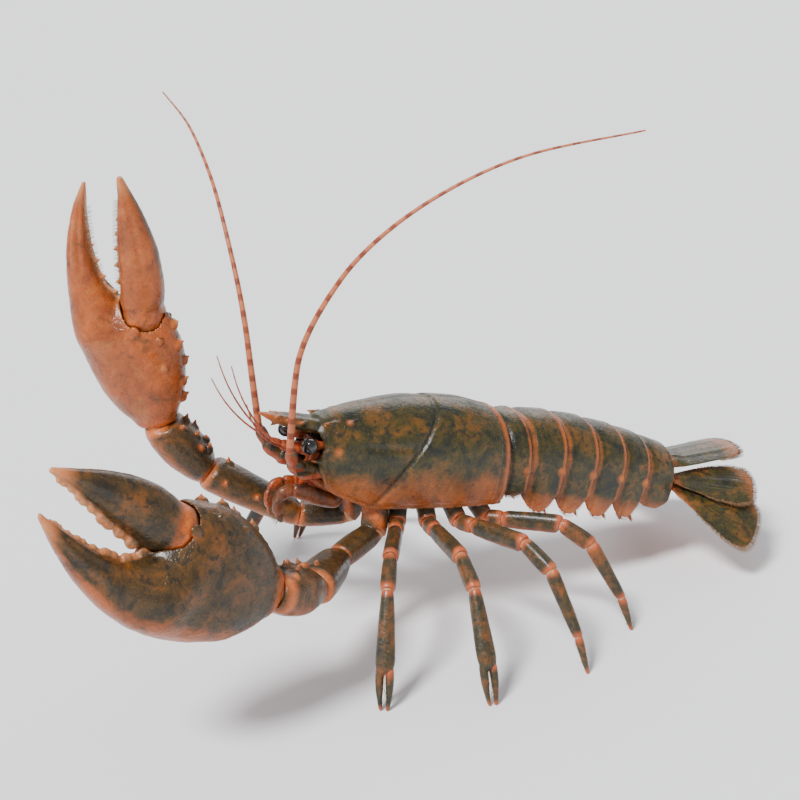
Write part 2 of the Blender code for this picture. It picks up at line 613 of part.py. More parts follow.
def make_antenna_base(word, side, red):
    """The three stout joints under a long feeler, with the pointed scale beside them."""
    across = Vector((1, 0.3, 0))
    path = [in_front(side, x, out, z) for x, out, z, _ in ANTENNA_BASE]
    rings = []
    for k, point in enumerate(path):
        way = path[min(k + 1, len(path) - 1)] - path[max(k - 1, 1)] if k else Vector((0, -1, 0))
        rings.append(ring(point, way, across, ANTENNA_BASE[k][3], ANTENNA_BASE[k][3], 10))
    up = Matrix.Rotation(TRUNK_PITCH, 3, "X") @ feeler_way(word)
    x, out, z, size = ANTENNA_END
    rings.append(ring(in_front(side, x, out, z) - up * GAP, up, across, size, size, 10))
    base = loft(f"antenna_base_{word}", rings, red)
    way = mirrored(SCALE_POINTS, side).normalized()
    root = in_front(side, *SCALE_ROOT)
    scale = [ring(root + way * out, way, ACROSS, wide, SCALE_THICKNESS, 6) for out, wide in SCALE]
    return fuse(base, [loft("scale", scale, red)])


def feeler_way(word):
    """The direction in which a long feeler leaves its base, in the standing frame."""
    points = through(FEELERS[word], FEELER_POINTS)
    return (points[1] - points[0]).normalized()


def make_long_feeler(word, red):
    """The long feeler as two bevelled curves, split half way."""
    points = through(FEELERS[word], FEELER_POINTS)
    half = FEELER_POINTS // 2
    for number, (first, last) in enumerate(((0, half), (half, FEELER_POINTS - 1)), 1):
        stretch = [p.copy() for p in points[first:last + 1]]
        if number == 2:
            stretch[0] += (stretch[1] - stretch[0]).normalized() * GAP
        curve = bpy.data.curves.new(f"antenna_{word}_{number}", "CURVE")
        curve.dimensions = "3D"
        curve.bevel_depth = FEELER_RADIUS
        curve.bevel_resolution = 2
        curve.use_fill_caps = True
        curve.twist_mode = "MINIMUM"
        line = curve.splines.new("POLY")
        line.points.add(len(stretch) - 1)
        for k, point in enumerate(stretch):
            taper = (first + k) / (FEELER_POINTS - 1)
            size = FEELER_RADIUS + (FEELER_TIP_RADIUS - FEELER_RADIUS) * taper ** 0.8
            line.points[k].co = (*point, 1.0)
            line.points[k].radius = size / FEELER_RADIUS
        obj = bpy.data.objects.new(curve.name, curve)
        curve.materials.append(red)
        bpy.data.collections["lobster"].objects.link(obj)


def make_mouth_leg(word, side, red):
    """The third maxilliped, a small jointed leg folded up in front of the mouth."""
    x, out, wide, high = MOUTH_LEG_ROOT
    run = HEAD_UNDERSIDE_END + CARAPACE_LENGTH
    slope = Vector((0, HEAD_UNDERSIDE_RISE, run)).normalized()
    root = in_front(side, x, out, HEAD_UNDERSIDE_RISE * (run + out) / run) - slope * GAP
    path = [root] + [in_front(side, *row[:3]) for row in MOUTH_LEG]
    rings = [ring(root, -slope, ACROSS, wide, high, 8)]
    for k, row in enumerate(MOUTH_LEG, 1):
        way = path[min(k + 1, len(path) - 1)] - path[k - 1]
        rings.append(ring(path[k], way, ACROSS, row[3], row[4], 8))
    return loft(f"maxilliped_{word}", rings, red)


# Limbs

def limb_rings(stations, across, count, first_way, last_way, power):
    """Rings through (centre, half across, half up) stations, the end ones square to the given ways."""
    last = len(stations) - 1
    rings = []
    for k, (centre, half_across, half_up) in enumerate(stations):
        way = stations[min(k + 1, last)][0] - stations[max(k - 1, 0)][0]
        way = first_way if k == 0 else last_way if k == last else way
        rings.append(ring(centre, way, across, half_across, half_up, count, power))
    return rings


def limb(name, stations, across, count, material, first_way, last_way, power=2.0):
    return loft(name, limb_rings(stations, across, count, first_way, last_way, power), material)


def bone(start, end, shape, stoutness=1.0):
    """Stations between two joints from (share, half across, half up) rows."""
    return [(start.lerp(end, share), wide * stoutness, high * stoutness) for share, wide, high in shape]


def bisector(a, b, c):
    """The way through b that halves the bend from a to c."""
    return ((b - a).normalized() + (c - b).normalized()).normalized()


def hinge_of(sizes):
    """Where the moving finger is hinged, along and across the claw."""
    shoulder, margin = sizes["palm"][-1]
    return Vector((shoulder, margin - HINGE_INSET))


def claw_ring(frame, sizes, u, low, high, thick, lean, count, bend=0.0):
    """A section of a claw across its length at u, from margin low to margin high, as shares of its length."""
    middle, half = (low + high) / 2, (high - low) / 2
    hinge = hinge_of(sizes)
    points = []
    for k in range(count):
        angle = 2 * math.pi * (k + 0.5) / count
        v = middle + half * power_of(math.cos(angle), CLAW_POWER)
        w = thick * power_of(math.sin(angle), CLAW_POWER)
        along = u + lean * (v - middle)
        offset = Matrix.Rotation(bend, 2) @ Vector((along - hinge.x, v - hinge.y))
        points.append(frame @ (sizes["length"] * Vector((hinge.x + offset.x, hinge.y + offset.y, w))))
    return points


def claw_frame(arm):
    """X along the claw, Y towards its moving finger and Z across its thickness, from the wrist."""
    along = Vector(arm["points"]).normalized()
    towards = Vector(arm["thumb"])
    towards = (towards - towards.dot(along) * along).normalized()
    turn = Matrix((along, towards, along.cross(towards))).transposed().to_4x4()
    return Matrix.Translation(Vector(arm["wrist"]) + along * GAP / 2) @ turn


def gape_margin(sizes, u):
    """The fixed finger's inner margin at u, which rises in a hollow curve to the moving finger's root."""
    shoulder = sizes["palm"][-1][0]
    inner = smooth(sizes["inner"], u)
    root = smooth(sizes["thumb_inner"], shoulder) - GAPE_ROOM
    share = min(1.0, max(0.0, (u - shoulder - GAPE_FROM) / (GAPE_UNTIL - GAPE_FROM)))
    return inner + max(0.0, root - inner) * (1 - share * share * (3 - 2 * share))


def shoulder_ring_middle(sizes):
    at = sizes["palm"][-1][0]
    return (smooth(sizes["outer"], at) + sizes["palm"][-1][1]) / 2


def make_palm(word, arm, shell):
    """The palm and fixed finger in one, with a flat shoulder where the moving finger is hinged."""
    sizes, frame, count = arm["claw"], claw_frame(arm), 20
    shoulder = sizes["palm"][-1][0]
    centre = shoulder_ring_middle(sizes)
    rings = []
    for u in (*PALM_RINGS, shoulder * .86, shoulder):
        lean = SHOULDER_LEAN * (u / shoulder) ** 2
        rings.append(claw_ring(frame, sizes, u, smooth(sizes["outer"], u), smooth(sizes["palm"], u),
                               smooth(sizes["thick"], u), lean, count))
    roots = [shoulder + part for part in GAPE_RINGS]
    for u in (shoulder, *roots, *FIXED_FINGER_RINGS):
        fade = 1 - (u - shoulder) / (1 - shoulder)
        low, high = smooth(sizes["outer"], u), gape_margin(sizes, u)
        low += SHOULDER_STEP * (u == shoulder)
        lean = SHOULDER_LEAN * fade ** 3
        start = u + lean * ((low + high) / 2 - centre)
        rings.append(claw_ring(frame, sizes, start, low, high, smooth(sizes["finger_thick"], u), lean, count))
    palm = loft(f"{word}_claw_palm", rings, shell)
    pieces = claw_teeth(sizes, frame, shell, moving=False)
    across = frame.to_3x3() @ Vector((0, 1, 0))
    forward = frame.to_3x3() @ Vector((1, 0, 0))
    for k in range(PALM_SPINES):
        u = 0.09 + 0.075 * k
        edge = smooth(sizes["palm"], u)
        base = frame @ (sizes["length"] * Vector((u, edge - 0.006, 0.012 * (-1) ** k)))
        pieces.append(spine(base, across + forward * 0.35, .0062 - .0004 * k, .0027, shell))
    return fuse(palm, pieces)


def claw_teeth(sizes, frame, shell, moving):
    """The row of biting knobs along a finger's inner margin, biggest in the middle."""
    radius, step, height = sizes["teeth"]
    shoulder = sizes["palm"][-1][0]
    bend = math.radians(sizes["open"]) if moving else 0.0
    hinge = hinge_of(sizes)
    teeth = []
    count = int((0.93 - shoulder - 0.10) / (2 * step)) + 1
    for k in range(count):
        u = shoulder + 0.10 + (2 * k + (0.6 if moving else 0.0)) * step
        size = sizes["length"] * radius * (1 - 0.55 * abs(k / (count - 1) - 0.35))
        margin = smooth(sizes["thumb_inner"], u) if moving else gape_margin(sizes, u)
        offset = Matrix.Rotation(bend, 2) @ Vector((u - hinge.x, margin - hinge.y))
        centre = frame @ (sizes["length"] * Vector((hinge.x + offset.x, hinge.y + offset.y, 0)))
        outward = frame.to_3x3() @ Vector((0, -1 if moving else 1, 0))
        teeth.append(knob(centre, size, shell, height, outward))
    return teeth


def make_moving_finger(word, arm, shell):
    sizes, frame, count = arm["claw"], claw_frame(arm), 14
    shoulder = sizes["palm"][-1][0]
    centre = shoulder_ring_middle(sizes)
    start = shoulder + GAP / sizes["length"] * 1.1
    rings = []
    for u in (start, shoulder + .035, shoulder + .08, *MOVING_FINGER_RINGS):
        fade = 1 - (u - start) / (1 - start)
        low, high = smooth(sizes["thumb_inner"], u), smooth(sizes["thumb_outer"], u)
        lean = SHOULDER_LEAN * fade ** 6
        share = min(1.0, (u - start) / OPENS_OVER)
        bend = math.radians(sizes["open"]) * share * share * (3 - 2 * share)
        along = u + lean * ((low + high) / 2 - centre)
        rings.append(claw_ring(frame, sizes, along, low, high, smooth(sizes["finger_thick"], u), lean, count,
                               bend=bend))
    finger = loft(f"{word}_claw_finger", rings, shell)
    return fuse(finger, claw_teeth(sizes, frame, shell, moving=True))


def make_arm(word, arm, shell):
    side = arm["side"]
    down = (trunk_point(0, 0, -1) - trunk_point(0, 0, 0)).normalized()
    root = trunk_point(side * ARM_ROOT.x, ARM_ROOT.y, -GAP)
    coxa, hip, elbow, wrist = (Vector(arm[k]) for k in ("coxa", "hip", "elbow", "wrist"))
    points = Vector(arm["points"]).normalized()
    across = (hip - coxa).cross(UP)
    r = ARM_ROOT_RADIUS
    hip_way, elbow_way = bisector(coxa, hip, elbow), bisector(hip, elbow, wrist)
    stations = [(root, r, r), (root.lerp(coxa, .45), r * 1.03, r * 1.03), (coxa, r * 1.05, r * 1.05),
                (coxa.lerp(hip, .4), r * 1.08, r * 1.02), (coxa.lerp(hip, .8), r * 1.12, r * 1.05),
                (hip - hip_way * GAP / 2, r * 1.0, r * .93)]
    limb(f"{word}_claw_hip", stations, across, 12, shell, down, hip_way)
    stations = bone(hip, elbow, MERUS)
    stations[0] = (hip + hip_way * GAP / 2, *stations[0][1:])
    stations[-1] = (elbow - elbow_way * GAP / 2, *stations[-1][1:])
    upper = limb(f"{word}_claw_merus", stations, across, 12, shell, hip_way, elbow_way, 2.3)
    way = (elbow - hip).normalized()
    lift = across.cross(way).normalized()
    lift = lift if lift.z > 0 else -lift
    inward = Vector((-side, 0, 0))
    share, height, length, radius = MERUS_UPPER_SPINE
    spines = [spine(hip.lerp(elbow, share) + lift * height, lift + way * .6, length, radius, shell)]
    for share, height, length, radius in MERUS_INNER_SPINES:
        base = hip.lerp(elbow, share) + inward * height
        spines.append(spine(base, inward + way * .6, length, radius, shell))
    fuse(upper, spines)
    stations = bone(elbow, wrist, CARPUS)
    stations[0] = (elbow + elbow_way * GAP / 2, *stations[0][1:])
    stations[-1] = (wrist - points * GAP / 2, *stations[-1][1:])
    lower = limb(f"{word}_claw_carpus", stations, across, 14, shell, elbow_way, points, 2.3)
    way = (wrist - elbow).normalized()
    lift = across.cross(way).normalized()
    lift = lift if lift.dot(Vector((0, -.6, 1))) > 0 else -lift
    height, length, radius = CARPUS_SPINE
    spines = []
    for share, tilt in CARPUS_SPINES:
        out = (lift * math.cos(tilt) + inward * math.sin(tilt)).normalized()
        spines.append(spine(elbow.lerp(wrist, share) + out * height, out + way * .55, length, radius, shell))
    fuse(lower, spines)
    make_palm(word, arm, shell)
    make_moving_finger(word, arm, shell)


def make_leg(word, side, number, sizes, shell):
    """One walking leg: thigh, shin and toe. The first two pairs end in a small pincer."""
    down = (trunk_point(0, 0, -1) - trunk_point(0, 0, 0)).normalized()
    x, y = sizes["root"]
    root = trunk_point(side * x, y, -GAP)
    heading = math.radians(sizes["heading"])
    out = Vector((side * math.cos(heading), math.sin(heading), 0))
    flat = Vector((-out.y, out.x, 0)) * side
    reach = sizes["reach"]

    def on_leg(distance, z):
        point = root + out * distance
        return Vector((point.x, point.y, z))

    coxa = on_leg(LEG_COXA_OUT, root.z - LEG_COXA_DROP)
    knee = on_leg(reach * LEG_KNEE_SHARE, root.z - LEG_KNEE_DROP)
    shin = on_leg(reach * LEG_SHIN_SHARE, root.z - LEG_SHIN_DROP)
    ankle = on_leg(reach * LEG_ANKLE_SHARE, LEG_ANKLE_Z)
    toe = on_leg(reach, 0.0)
    r, k = LEG_ROOT_RADIUS, LEG_STOUTNESS
    knee_way, ankle_way = bisector(coxa, knee, shin), bisector(shin, ankle, toe)
    stations = [(root, r, r), (root.lerp(coxa, .55), r * .94, r * .94), (coxa, r * .86, r * .86)]
    stations += bone(coxa, knee, LEG_THIGH, k)
    stations += bone(knee, knee - knee_way * GAP / 2, ((1, *LEG_KNEE_END),), k)
    name = f"{word}_leg_{number}"
    limb(f"{name}_upper", stations, flat, 8, shell, down, knee_way)
    stations = bone(knee, knee + knee_way * GAP / 2, ((1, *LEG_KNEE_START),), k)
    stations += bone(knee, shin, LEG_SHIN, k)
    if not sizes["pincer"]:
        stations += bone(shin, ankle, LEG_ANKLE, k)
        stations += bone(ankle, ankle - ankle_way * GAP / 2, ((1, *LEG_ANKLE_END),), k)
        limb(f"{name}_lower", stations, flat, 8, shell, knee_way, ankle_way)
        stations = bone(ankle, ankle + ankle_way * GAP / 2, ((1, *LEG_TOE_START),), k)
        stations += bone(ankle, toe, ((.45, *LEG_TOE_MIDDLE),), k)
        stations.append((toe, TOE_RADIUS, TOE_RADIUS))
        limb(f"{name}_tip", stations, flat, 8, shell, ankle_way, -UP)
        return
    way = (ankle - shin).normalized()
    stations += bone(shin, ankle, PINCER_PALM, k)
    fingers = []
    for sign in (-1, 1):
        aside = flat * sign
        start = ankle + aside * PINCER_HALF + way * (GAP if sign > 0 else 0)
        fingers.append([(start, *PINCER_FINGER_START),
                        (ankle.lerp(toe, .5) + aside * (PINCER_HALF + .0007), *PINCER_FINGER_MIDDLE),
                        (toe + aside * PINCER_TIPS_APART, TOE_RADIUS, TOE_RADIUS)])
    limb_with_step(f"{name}_lower", stations, fingers[0], flat, shell, knee_way, way)
    limb(f"{name}_tip", fingers[1], flat, 8, shell, way, -UP)


def limb_with_step(name, whole, finger, across, material, first_way, step_way):
    """A limb whose full section stops at a flat step, with a narrower finger going on from it."""
    return loft(name, limb_rings(whole, across, 8, first_way, step_way, 2.0)
                + limb_rings(finger, across, 8, step_way, -UP, 2.0), material)


def main():
    for obj in list(bpy.data.objects):
        bpy.data.objects.remove(obj)
    lobster = bpy.data.collections.new("lobster")
    bpy.context.scene.collection.children.link(lobster)

    shell = material_of("shell", (0.10, 0.085, 0.045), 0.45)
    claw_shell = material_of("claw_shell", (0.16, 0.075, 0.035), 0.40)
    leg_shell = material_of("leg_shell", (0.30, 0.10, 0.04), 0.45)
    feeler_red = material_of("feeler_shell", (0.38, 0.07, 0.03), 0.45)
    black = material_of("eye", (0.010, 0.010, 0.012), 0.12)

    make_head(shell)
    make_thorax(shell)
    make_tail(shell)
    make_tail_fan(shell)
    for word, side in (("left", 1), ("right", -1)):
        make_eye(word, side, black)
        make_antennule(word, side, feeler_red)
        make_antenna_base(word, side, feeler_red)
        make_mouth_leg(word, side, leg_shell)
    trunk_parts = list(lobster.objects)
    for word, side in (("left", 1), ("right", -1)):
        make_long_feeler(word, feeler_red)
        make_arm(word, ARMS[word], claw_shell)
        for number, sizes in enumerate(LEGS, 1):
            make_leg(word, side, number, sizes, leg_shell)
    limb_parts = [obj for obj in lobster.objects if obj not in trunk_parts]

    stand = bpy.data.objects.new("standing_frame", None)
    stand.location = MODEL_SHIFT
    trunk = bpy.data.objects.new("trunk_frame", None)
    trunk.parent = stand
    trunk.location = TRUNK_AT
    trunk.rotation_euler = (-TRUNK_PITCH, 0, 0)
    for frame in (stand, trunk):
        lobster.objects.link(frame)
    for obj in trunk_parts:
        obj.parent = trunk
    for obj in limb_parts:
        obj.parent = stand


main()
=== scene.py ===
"""An adult American lobster on a pale studio floor: shell plates, claws, legs, feelers and fringes.

Every piece is made in the row frame, in metres, from the named sizes that the solids have, as fine
lofts that are joined by a voxel remesh, smoothed and roughened. The trunk's own frame has its origin
under the middle of the carapace's rear edge, on the plane of the underside, Y towards the tail.
"""

import math

import bmesh
import bpy
import numpy as np
from mathutils import Matrix, Vector


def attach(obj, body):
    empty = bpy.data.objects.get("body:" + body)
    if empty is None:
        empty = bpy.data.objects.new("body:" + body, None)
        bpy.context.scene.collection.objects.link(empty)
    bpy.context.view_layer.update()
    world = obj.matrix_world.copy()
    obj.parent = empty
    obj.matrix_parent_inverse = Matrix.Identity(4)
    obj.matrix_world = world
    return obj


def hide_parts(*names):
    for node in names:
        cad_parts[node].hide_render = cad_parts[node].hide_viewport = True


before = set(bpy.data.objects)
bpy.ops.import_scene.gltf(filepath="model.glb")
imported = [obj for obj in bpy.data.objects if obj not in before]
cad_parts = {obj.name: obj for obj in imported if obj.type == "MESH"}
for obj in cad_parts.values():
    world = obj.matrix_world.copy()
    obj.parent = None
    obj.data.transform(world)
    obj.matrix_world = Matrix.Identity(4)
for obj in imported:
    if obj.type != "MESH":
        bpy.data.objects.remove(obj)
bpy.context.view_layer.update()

GAP = 0.0003
MODEL_SHIFT = Vector((0.0384, 0.0064, 0.0))

# Trunk: where it is held, and the size of the carapace from eye socket to rear edge
TRUNK_AT = Vector((0.0, 0.045, 0.068))
TRUNK_PITCH = math.radians(8.0)
CARAPACE_LENGTH = 0.118
CARAPACE_HALF_WIDTH = 0.0325
CARAPACE_HEIGHT = 0.060
GROOVE_AT = 0.458
GROOVE_LEAN = 0.71
HEAD_UNDERSIDE_RISE = 0.013
HEAD_UNDERSIDE_END = -0.0855
CARAPACE_WIDTHS = ((0, .53), (.12, .66), (.3, .83), (.55, .95), (.8, 1.0), (.95, .97), (1, .93))
CARAPACE_TOPS = ((0, .80), (.1, .87), (.3, .95), (.55, 1.0), (.8, .97), (.95, .90), (1, .88))
# Rostrum, from within the head to its tip: (way out, half width, half height, height of its middle)
ROSTRUM_LENGTH = 0.032
ROSTRUM = ((-.030, .0085, .0040, .0470), (-.014, .0095, .0050, .0440), (-.004, .0095, .0048, .0447),
           (.006, .0082, .0046, .0462), (.016, .0060, .0037, .0478), (.025, .0036, .0023, .0500),
           (ROSTRUM_LENGTH - .0006, .0009, .0008, .0523))
# Spines: (way out, to the side, height, length), then (to the side, way back, height, length, radius)
ROSTRUM_SPINES = ((.006, .0075, .0475, .0054), (.0135, .0058, .0490, .0052), (.0205, .0040, .0505, .0040))
HEAD_SPINES = ((.0112, .010, .0475, .0075, .0021), (.0160, .001, .0275, .0062, .0019),
               (.0135, .022, .0490, .0048, .0016), (.0178, .014, .0330, .0038, .0014),
               (.0215, .034, .0300, .0034, .0013))
ORBIT_HEIGHT, ORBIT_DEPTH = 0.0370, 0.0030
CORNER_LOW, CORNER_HIGH, CORNER_DEPTH = 0.0110, 0.0260, 0.0060
FRONT_EASE = 0.16
MOUTH_DEPTH = 0.0062

# Tail: one entry for each ring of shell, then the size of the joints between them
TAIL_LENGTHS = (0.014, 0.024, 0.023, 0.022, 0.021, 0.024)
TAIL_BENDS = (0.0, -2.5, -3.0, -2.5, -1.0, 1.5, 3.0)
TAIL_HALF_WIDTHS = (0.0275, 0.0290, 0.0292, 0.0286, 0.0275, 0.0258, 0.0230)
TAIL_HEIGHTS = (0.0410, 0.0425, 0.0420, 0.0405, 0.0385, 0.0355, 0.0305)
TAIL_FLAPS = (0.003, 0.013, 0.014, 0.014, 0.013, 0.006)
TAIL_BELLY = 0.008

# Claws: margins and thickness as shares of the claw's length, wrist to tip
CRUSHER = {
    "length": 0.140,
    "outer": ((0, -.078), (.06, -.135), (.2, -.225), (.4, -.262), (.6, -.232), (.78, -.155), (.92, -.05),
              (1, .025)),
    "palm": ((0, .078), (.06, .135), (.17, .205), (.33, .248), (.5, .235)),
    "inner": ((.5, -.025), (.58, -.042), (.7, -.036), (.84, -.008), (.94, .025), (1, .047)),
    "thick": ((0, .063), (.07, .098), (.25, .142), (.40, .148), (.5, .132), (.62, .093), (.78, .067),
              (.92, .036), (1, .011)),
    "finger_thick": ((.5, .108), (.62, .093), (.78, .067), (.92, .036), (1, .011)),
    "thumb_outer": ((.5, .212), (.57, .228), (.68, .212), (.8, .168), (.91, .112), (.985, .072)),
    "thumb_inner": ((.5, .018), (.58, .016), (.7, .022), (.82, .036), (.92, .048), (.985, .052)),
    "open": 15.0,
}
CUTTER = {
    "length": 0.146,
    "outer": ((0, -.074), (.06, -.118), (.2, -.178), (.38, -.200), (.6, -.172), (.78, -.118), (.92, -.045),
              (1, .018)),
    "palm": ((0, .074), (.06, .115), (.17, .165), (.32, .195), (.46, .185)),
    "inner": ((.46, -.015), (.56, -.035), (.7, -.038), (.85, -.014), (.94, .014), (1, .036)),
    "thick": ((0, .058), (.07, .085), (.22, .115), (.36, .12), (.46, .106), (.6, .072), (.78, .053),
              (.92, .030), (1, .010)),
    "finger_thick": ((.46, .088), (.6, .072), (.78, .053), (.92, .030), (1, .010)),
    "thumb_outer": ((.46, .168), (.54, .182), (.68, .172), (.8, .140), (.91, .095), (.985, .058)),
    "thumb_inner": ((.46, .016), (.56, .016), (.7, .018), (.82, .028), (.92, .038), (.985, .040)),
    "open": 13.0,
}
SHOULDER_LEAN = -0.22
SHOULDER_ROUNDING = 0.075
PALM_FADES_FROM = 0.10
GAPE_FROM, GAPE_UNTIL = 0.045, 0.165
GAPE_ROOM = 0.006
HINGE_DEPTH = 0.04
SOCKET_DEPTH = 0.060
SOCKET_ROOM = 0.0055

ARMS = {
    "left": {
        "claw": CRUSHER, "side": 1,
        "coxa": (0.0165, -0.034, 0.0630), "hip": (0.028, -0.062, 0.0570),
        "elbow": (0.0699, -0.0984, 0.0647), "wrist": (0.0891, -0.1288, 0.0770),
        "points": (0.08, -0.87, 0.47), "thumb": (-0.30, 0.40, 0.86),
    },
    "right": {
        "claw": CUTTER, "side": -1,
        "coxa": (-0.0165, -0.034, 0.0630), "hip": (-0.028, -0.060, 0.0620),
        "elbow": (-0.0496, -0.1080, 0.0908), "wrist": (-0.0594, -0.1326, 0.1220),
        "points": (-0.05, -0.25, 0.96), "thumb": (0.66, 0.72, 0.20),
    },
}
ARM_ROOT = Vector((0.0125, -0.0760, 0.0))

# Walking legs, front to back: root on the underside, heading from straight out, reach to the toe
LEGS = (
    {"root": (0.0110, -0.0605), "heading": -32.0, "reach": 0.108, "pincer": True},
    {"root": (0.0125, -0.0455), "heading": -9.0, "reach": 0.114, "pincer": True},
    {"root": (0.0140, -0.0305), "heading": 17.0, "reach": 0.110, "pincer": False},
    {"root": (0.0150, -0.0155), "heading": 44.0, "reach": 0.100, "pincer": False},
)
LEG_COXA_OUT, LEG_COXA_DROP = 0.0105, 0.0100
LEG_KNEE_SHARE, LEG_KNEE_DROP = 0.56, 0.0085
LEG_SHIN_SHARE, LEG_SHIN_DROP = 0.74, 0.0190
LEG_ANKLE_SHARE, LEG_ANKLE_Z = 0.93, 0.0200
TOE_RADIUS = 0.0010

# Tail fan, each blade drawn in from the solid's edge by the length of its fringe
FAN = {
    "telson": {
        "x": 0.0, "z": 0.0195, "out": 0.0, "length": 0.057, "half_width": 0.0195, "root": 0.0048,
        "widths": ((0, .62), (.15, .86), (.4, .95), (.7, 1.0), (.88, .93), (.96, .72), (1, .42)),
    },
    "uropod_inner": {
        "x": 0.0165, "z": 0.0125, "out": 20.0, "length": 0.056, "half_width": 0.0170, "root": 0.0019,
        "widths": ((0, .28), (.2, .60), (.5, .92), (.75, 1.0), (.9, .84), (.97, .56), (1, .30)),
    },
    "uropod_outer": {
        "x": 0.0170, "z": 0.0080, "out": 46.0, "length": 0.060, "half_width": 0.0185, "root": 0.0019,
        "widths": ((0, .23), (.2, .56), (.5, .90), (.75, 1.0), (.9, .86), (.97, .60), (1, .34)),
    },
}
FAN_STEM = 0.004
FAN_RISE = 0.22
FAN_ARCH = 7.5
# The share of a blade's length over which it turns out from its root, then the hair along its edge
BLADE_TURN = 0.1
FRINGE = 0.0042
FRINGE_SPACING = 0.00030
FRINGE_ROWS = 2
ROUND_FROM = 0.85

FEELERS = {
    "left": ((0.0210, -0.0871, 0.1234), (0.0260, -0.0840, 0.1720), (0.0400, -0.0640, 0.2220),
             (0.0610, -0.0260, 0.2620), (0.0860, 0.0220, 0.2880), (0.1120, 0.0740, 0.3000)),
    "right": ((-0.0210, -0.0871, 0.1234), (-0.0290, -0.0890, 0.1720), (-0.0510, -0.0880, 0.2170),
              (-0.0910, -0.0830, 0.2540), (-0.1440, -0.0760, 0.2760), (-0.2030, -0.0680, 0.2840)),
}
FEELER_RADIUS = 0.0023
FEELER_TIP_RADIUS = 0.0005
FEELER_SIDES = 12
FEELER_BAND_RINGS = 27

# How many rings and sides the fine lofts have, and how square their sections are, where 2 is round
CARAPACE_RINGS, CARAPACE_SIDES = 120, 74
TAIL_RINGS, TAIL_SIDES = 44, 46
BLADE_RINGS, BLADE_SIDES = 60, 72
FINGER_RINGS, FINGER_SIDES = 84, 96
PALM_SIDES = 120
BALL_RINGS = 14
SECTION_POWER, PALM_POWER, TAIL_POWER, CARAPACE_POWER = 2.2, 1.7, 2.1, 2.15

SHELL_VOXEL = 0.00068
LIMB_VOXEL = 0.00058
SMALL_VOXEL = 0.00038
BLADE_VOXEL = 0.00042

UP, DOWN = Vector((0, 0, 1)), Vector((0, 0, -1))
ACROSS, AHEAD = Vector((1, 0, 0)), Vector((0, -1, 0))
FRONT = -CARAPACE_LENGTH
TRUNK = Matrix.Translation(MODEL_SHIFT + TRUNK_AT) @ Matrix.Rotation(-TRUNK_PITCH, 4, "X")
TRUNK_TURN = TRUNK.to_3x3()
TRUNK_DOWN = TRUNK_TURN @ DOWN
STAND = Matrix.Translation(MODEL_SHIFT)
SIDES = (-1, 1)
WORDS = (("left", 1), ("right", -1))
random = np.random.default_rng(11)


# Curves and sections

def smooth(pairs, t):
    """The value at t of a smooth curve through (place, value) pairs, level beyond its ends."""
    if t <= pairs[0][0]:
        return pairs[0][1]
    if t >= pairs[-1][0]:
        return pairs[-1][1]
    rises = [(b[1] - a[1]) / (b[0] - a[0]) for a, b in zip(pairs, pairs[1:])]

    def slope(k):
        if k in (0, len(rises)):
            return rises[min(k, len(rises) - 1)]
        before, after = rises[k - 1], rises[k]
        return 0.0 if before * after <= 0 else 2 * before * after / (before + after)

    i = max(k for k in range(len(rises)) if pairs[k][0] <= t)
    (x0, y0), (x1, y1) = pairs[i], pairs[i + 1]
    h = x1 - x0
    s = (t - x0) / h
    return (y0 * (1 + 2 * s) * (1 - s) ** 2 + y1 * s * s * (3 - 2 * s)
            + h * slope(i) * s * (1 - s) ** 2 - h * slope(i + 1) * s * s * (1 - s))


def through(points, count):
    """Evenly timed points on a smooth curve through the given ones."""
    timed = [[(k, p[axis]) for k, p in enumerate(points)] for axis in range(3)]
    last = len(points) - 1
    return [Vector([smooth(axis, last * k / (count - 1)) for axis in timed]) for k in range(count)]


def step(low, high, value):
    """0 below low, 1 above high and a smooth rise between; value may be an array."""
    s = np.clip((value - low) / (high - low), 0.0, 1.0)
    s = s * s * (3 - 2 * s)
    return s if np.ndim(s) else float(s)


def bell(distance, width):
    """1 where distance is 0, fading to both sides; distance may be an array."""
    height = np.exp(-(distance / width) ** 2)
    return height if np.ndim(height) else float(height)


def spaced(first, last, count):
    return [first + (last - first) * k / (count - 1) for k in range(count)]


def power_of(value, power):
    """cos or sin made squarer: sign kept, magnitude raised to 2/power."""
    return math.copysign(abs(value) ** (2.0 / power), value)


def oval(count, power):
    """(across, up) at evenly turned points of a closed section of half sizes 1, squarer with power."""
    angles = [math.tau * (k + 0.5) / count for k in range(count)]
    return [(power_of(math.cos(angle), power), power_of(math.sin(angle), power)) for angle in angles]


def ring(centre, along, across, half_across, half_up, count, power=2.0):
    """One closed section square to along: half_across wide on across and half_up the other way."""
    along = along.normalized()
    side = (across - across.dot(along) * along).normalized()
    up = along.cross(side)
    return [centre + side * half_across * x + up * half_up * y for x, y in oval(count, power)]


def bisector(a, b, c):
    """The way through b that halves the bend from a to c."""
    return ((b - a).normalized() + (c - b).normalized()).normalized()


# Shapes are (points, faces) pairs; a piece is made of one or more of them

def loft(rings, place=Matrix.Identity(4)):
    """A closed shape through the rings, which all have one number of points, capped at both ends."""
    count, rows = len(rings[0]), len(rings)
    points = np.array([tuple(place @ Vector(p)) for points in rings for p in points])
    faces = []
    for row in range(rows - 1):
        for k in range(count):
            a, b = row * count + k, row * count + (k + 1) % count
            faces.append((a, b, b + count, a + count))
    faces.append(tuple(range(count))[::-1])
    faces.append(tuple(range((rows - 1) * count, rows * count)))
    return points, faces


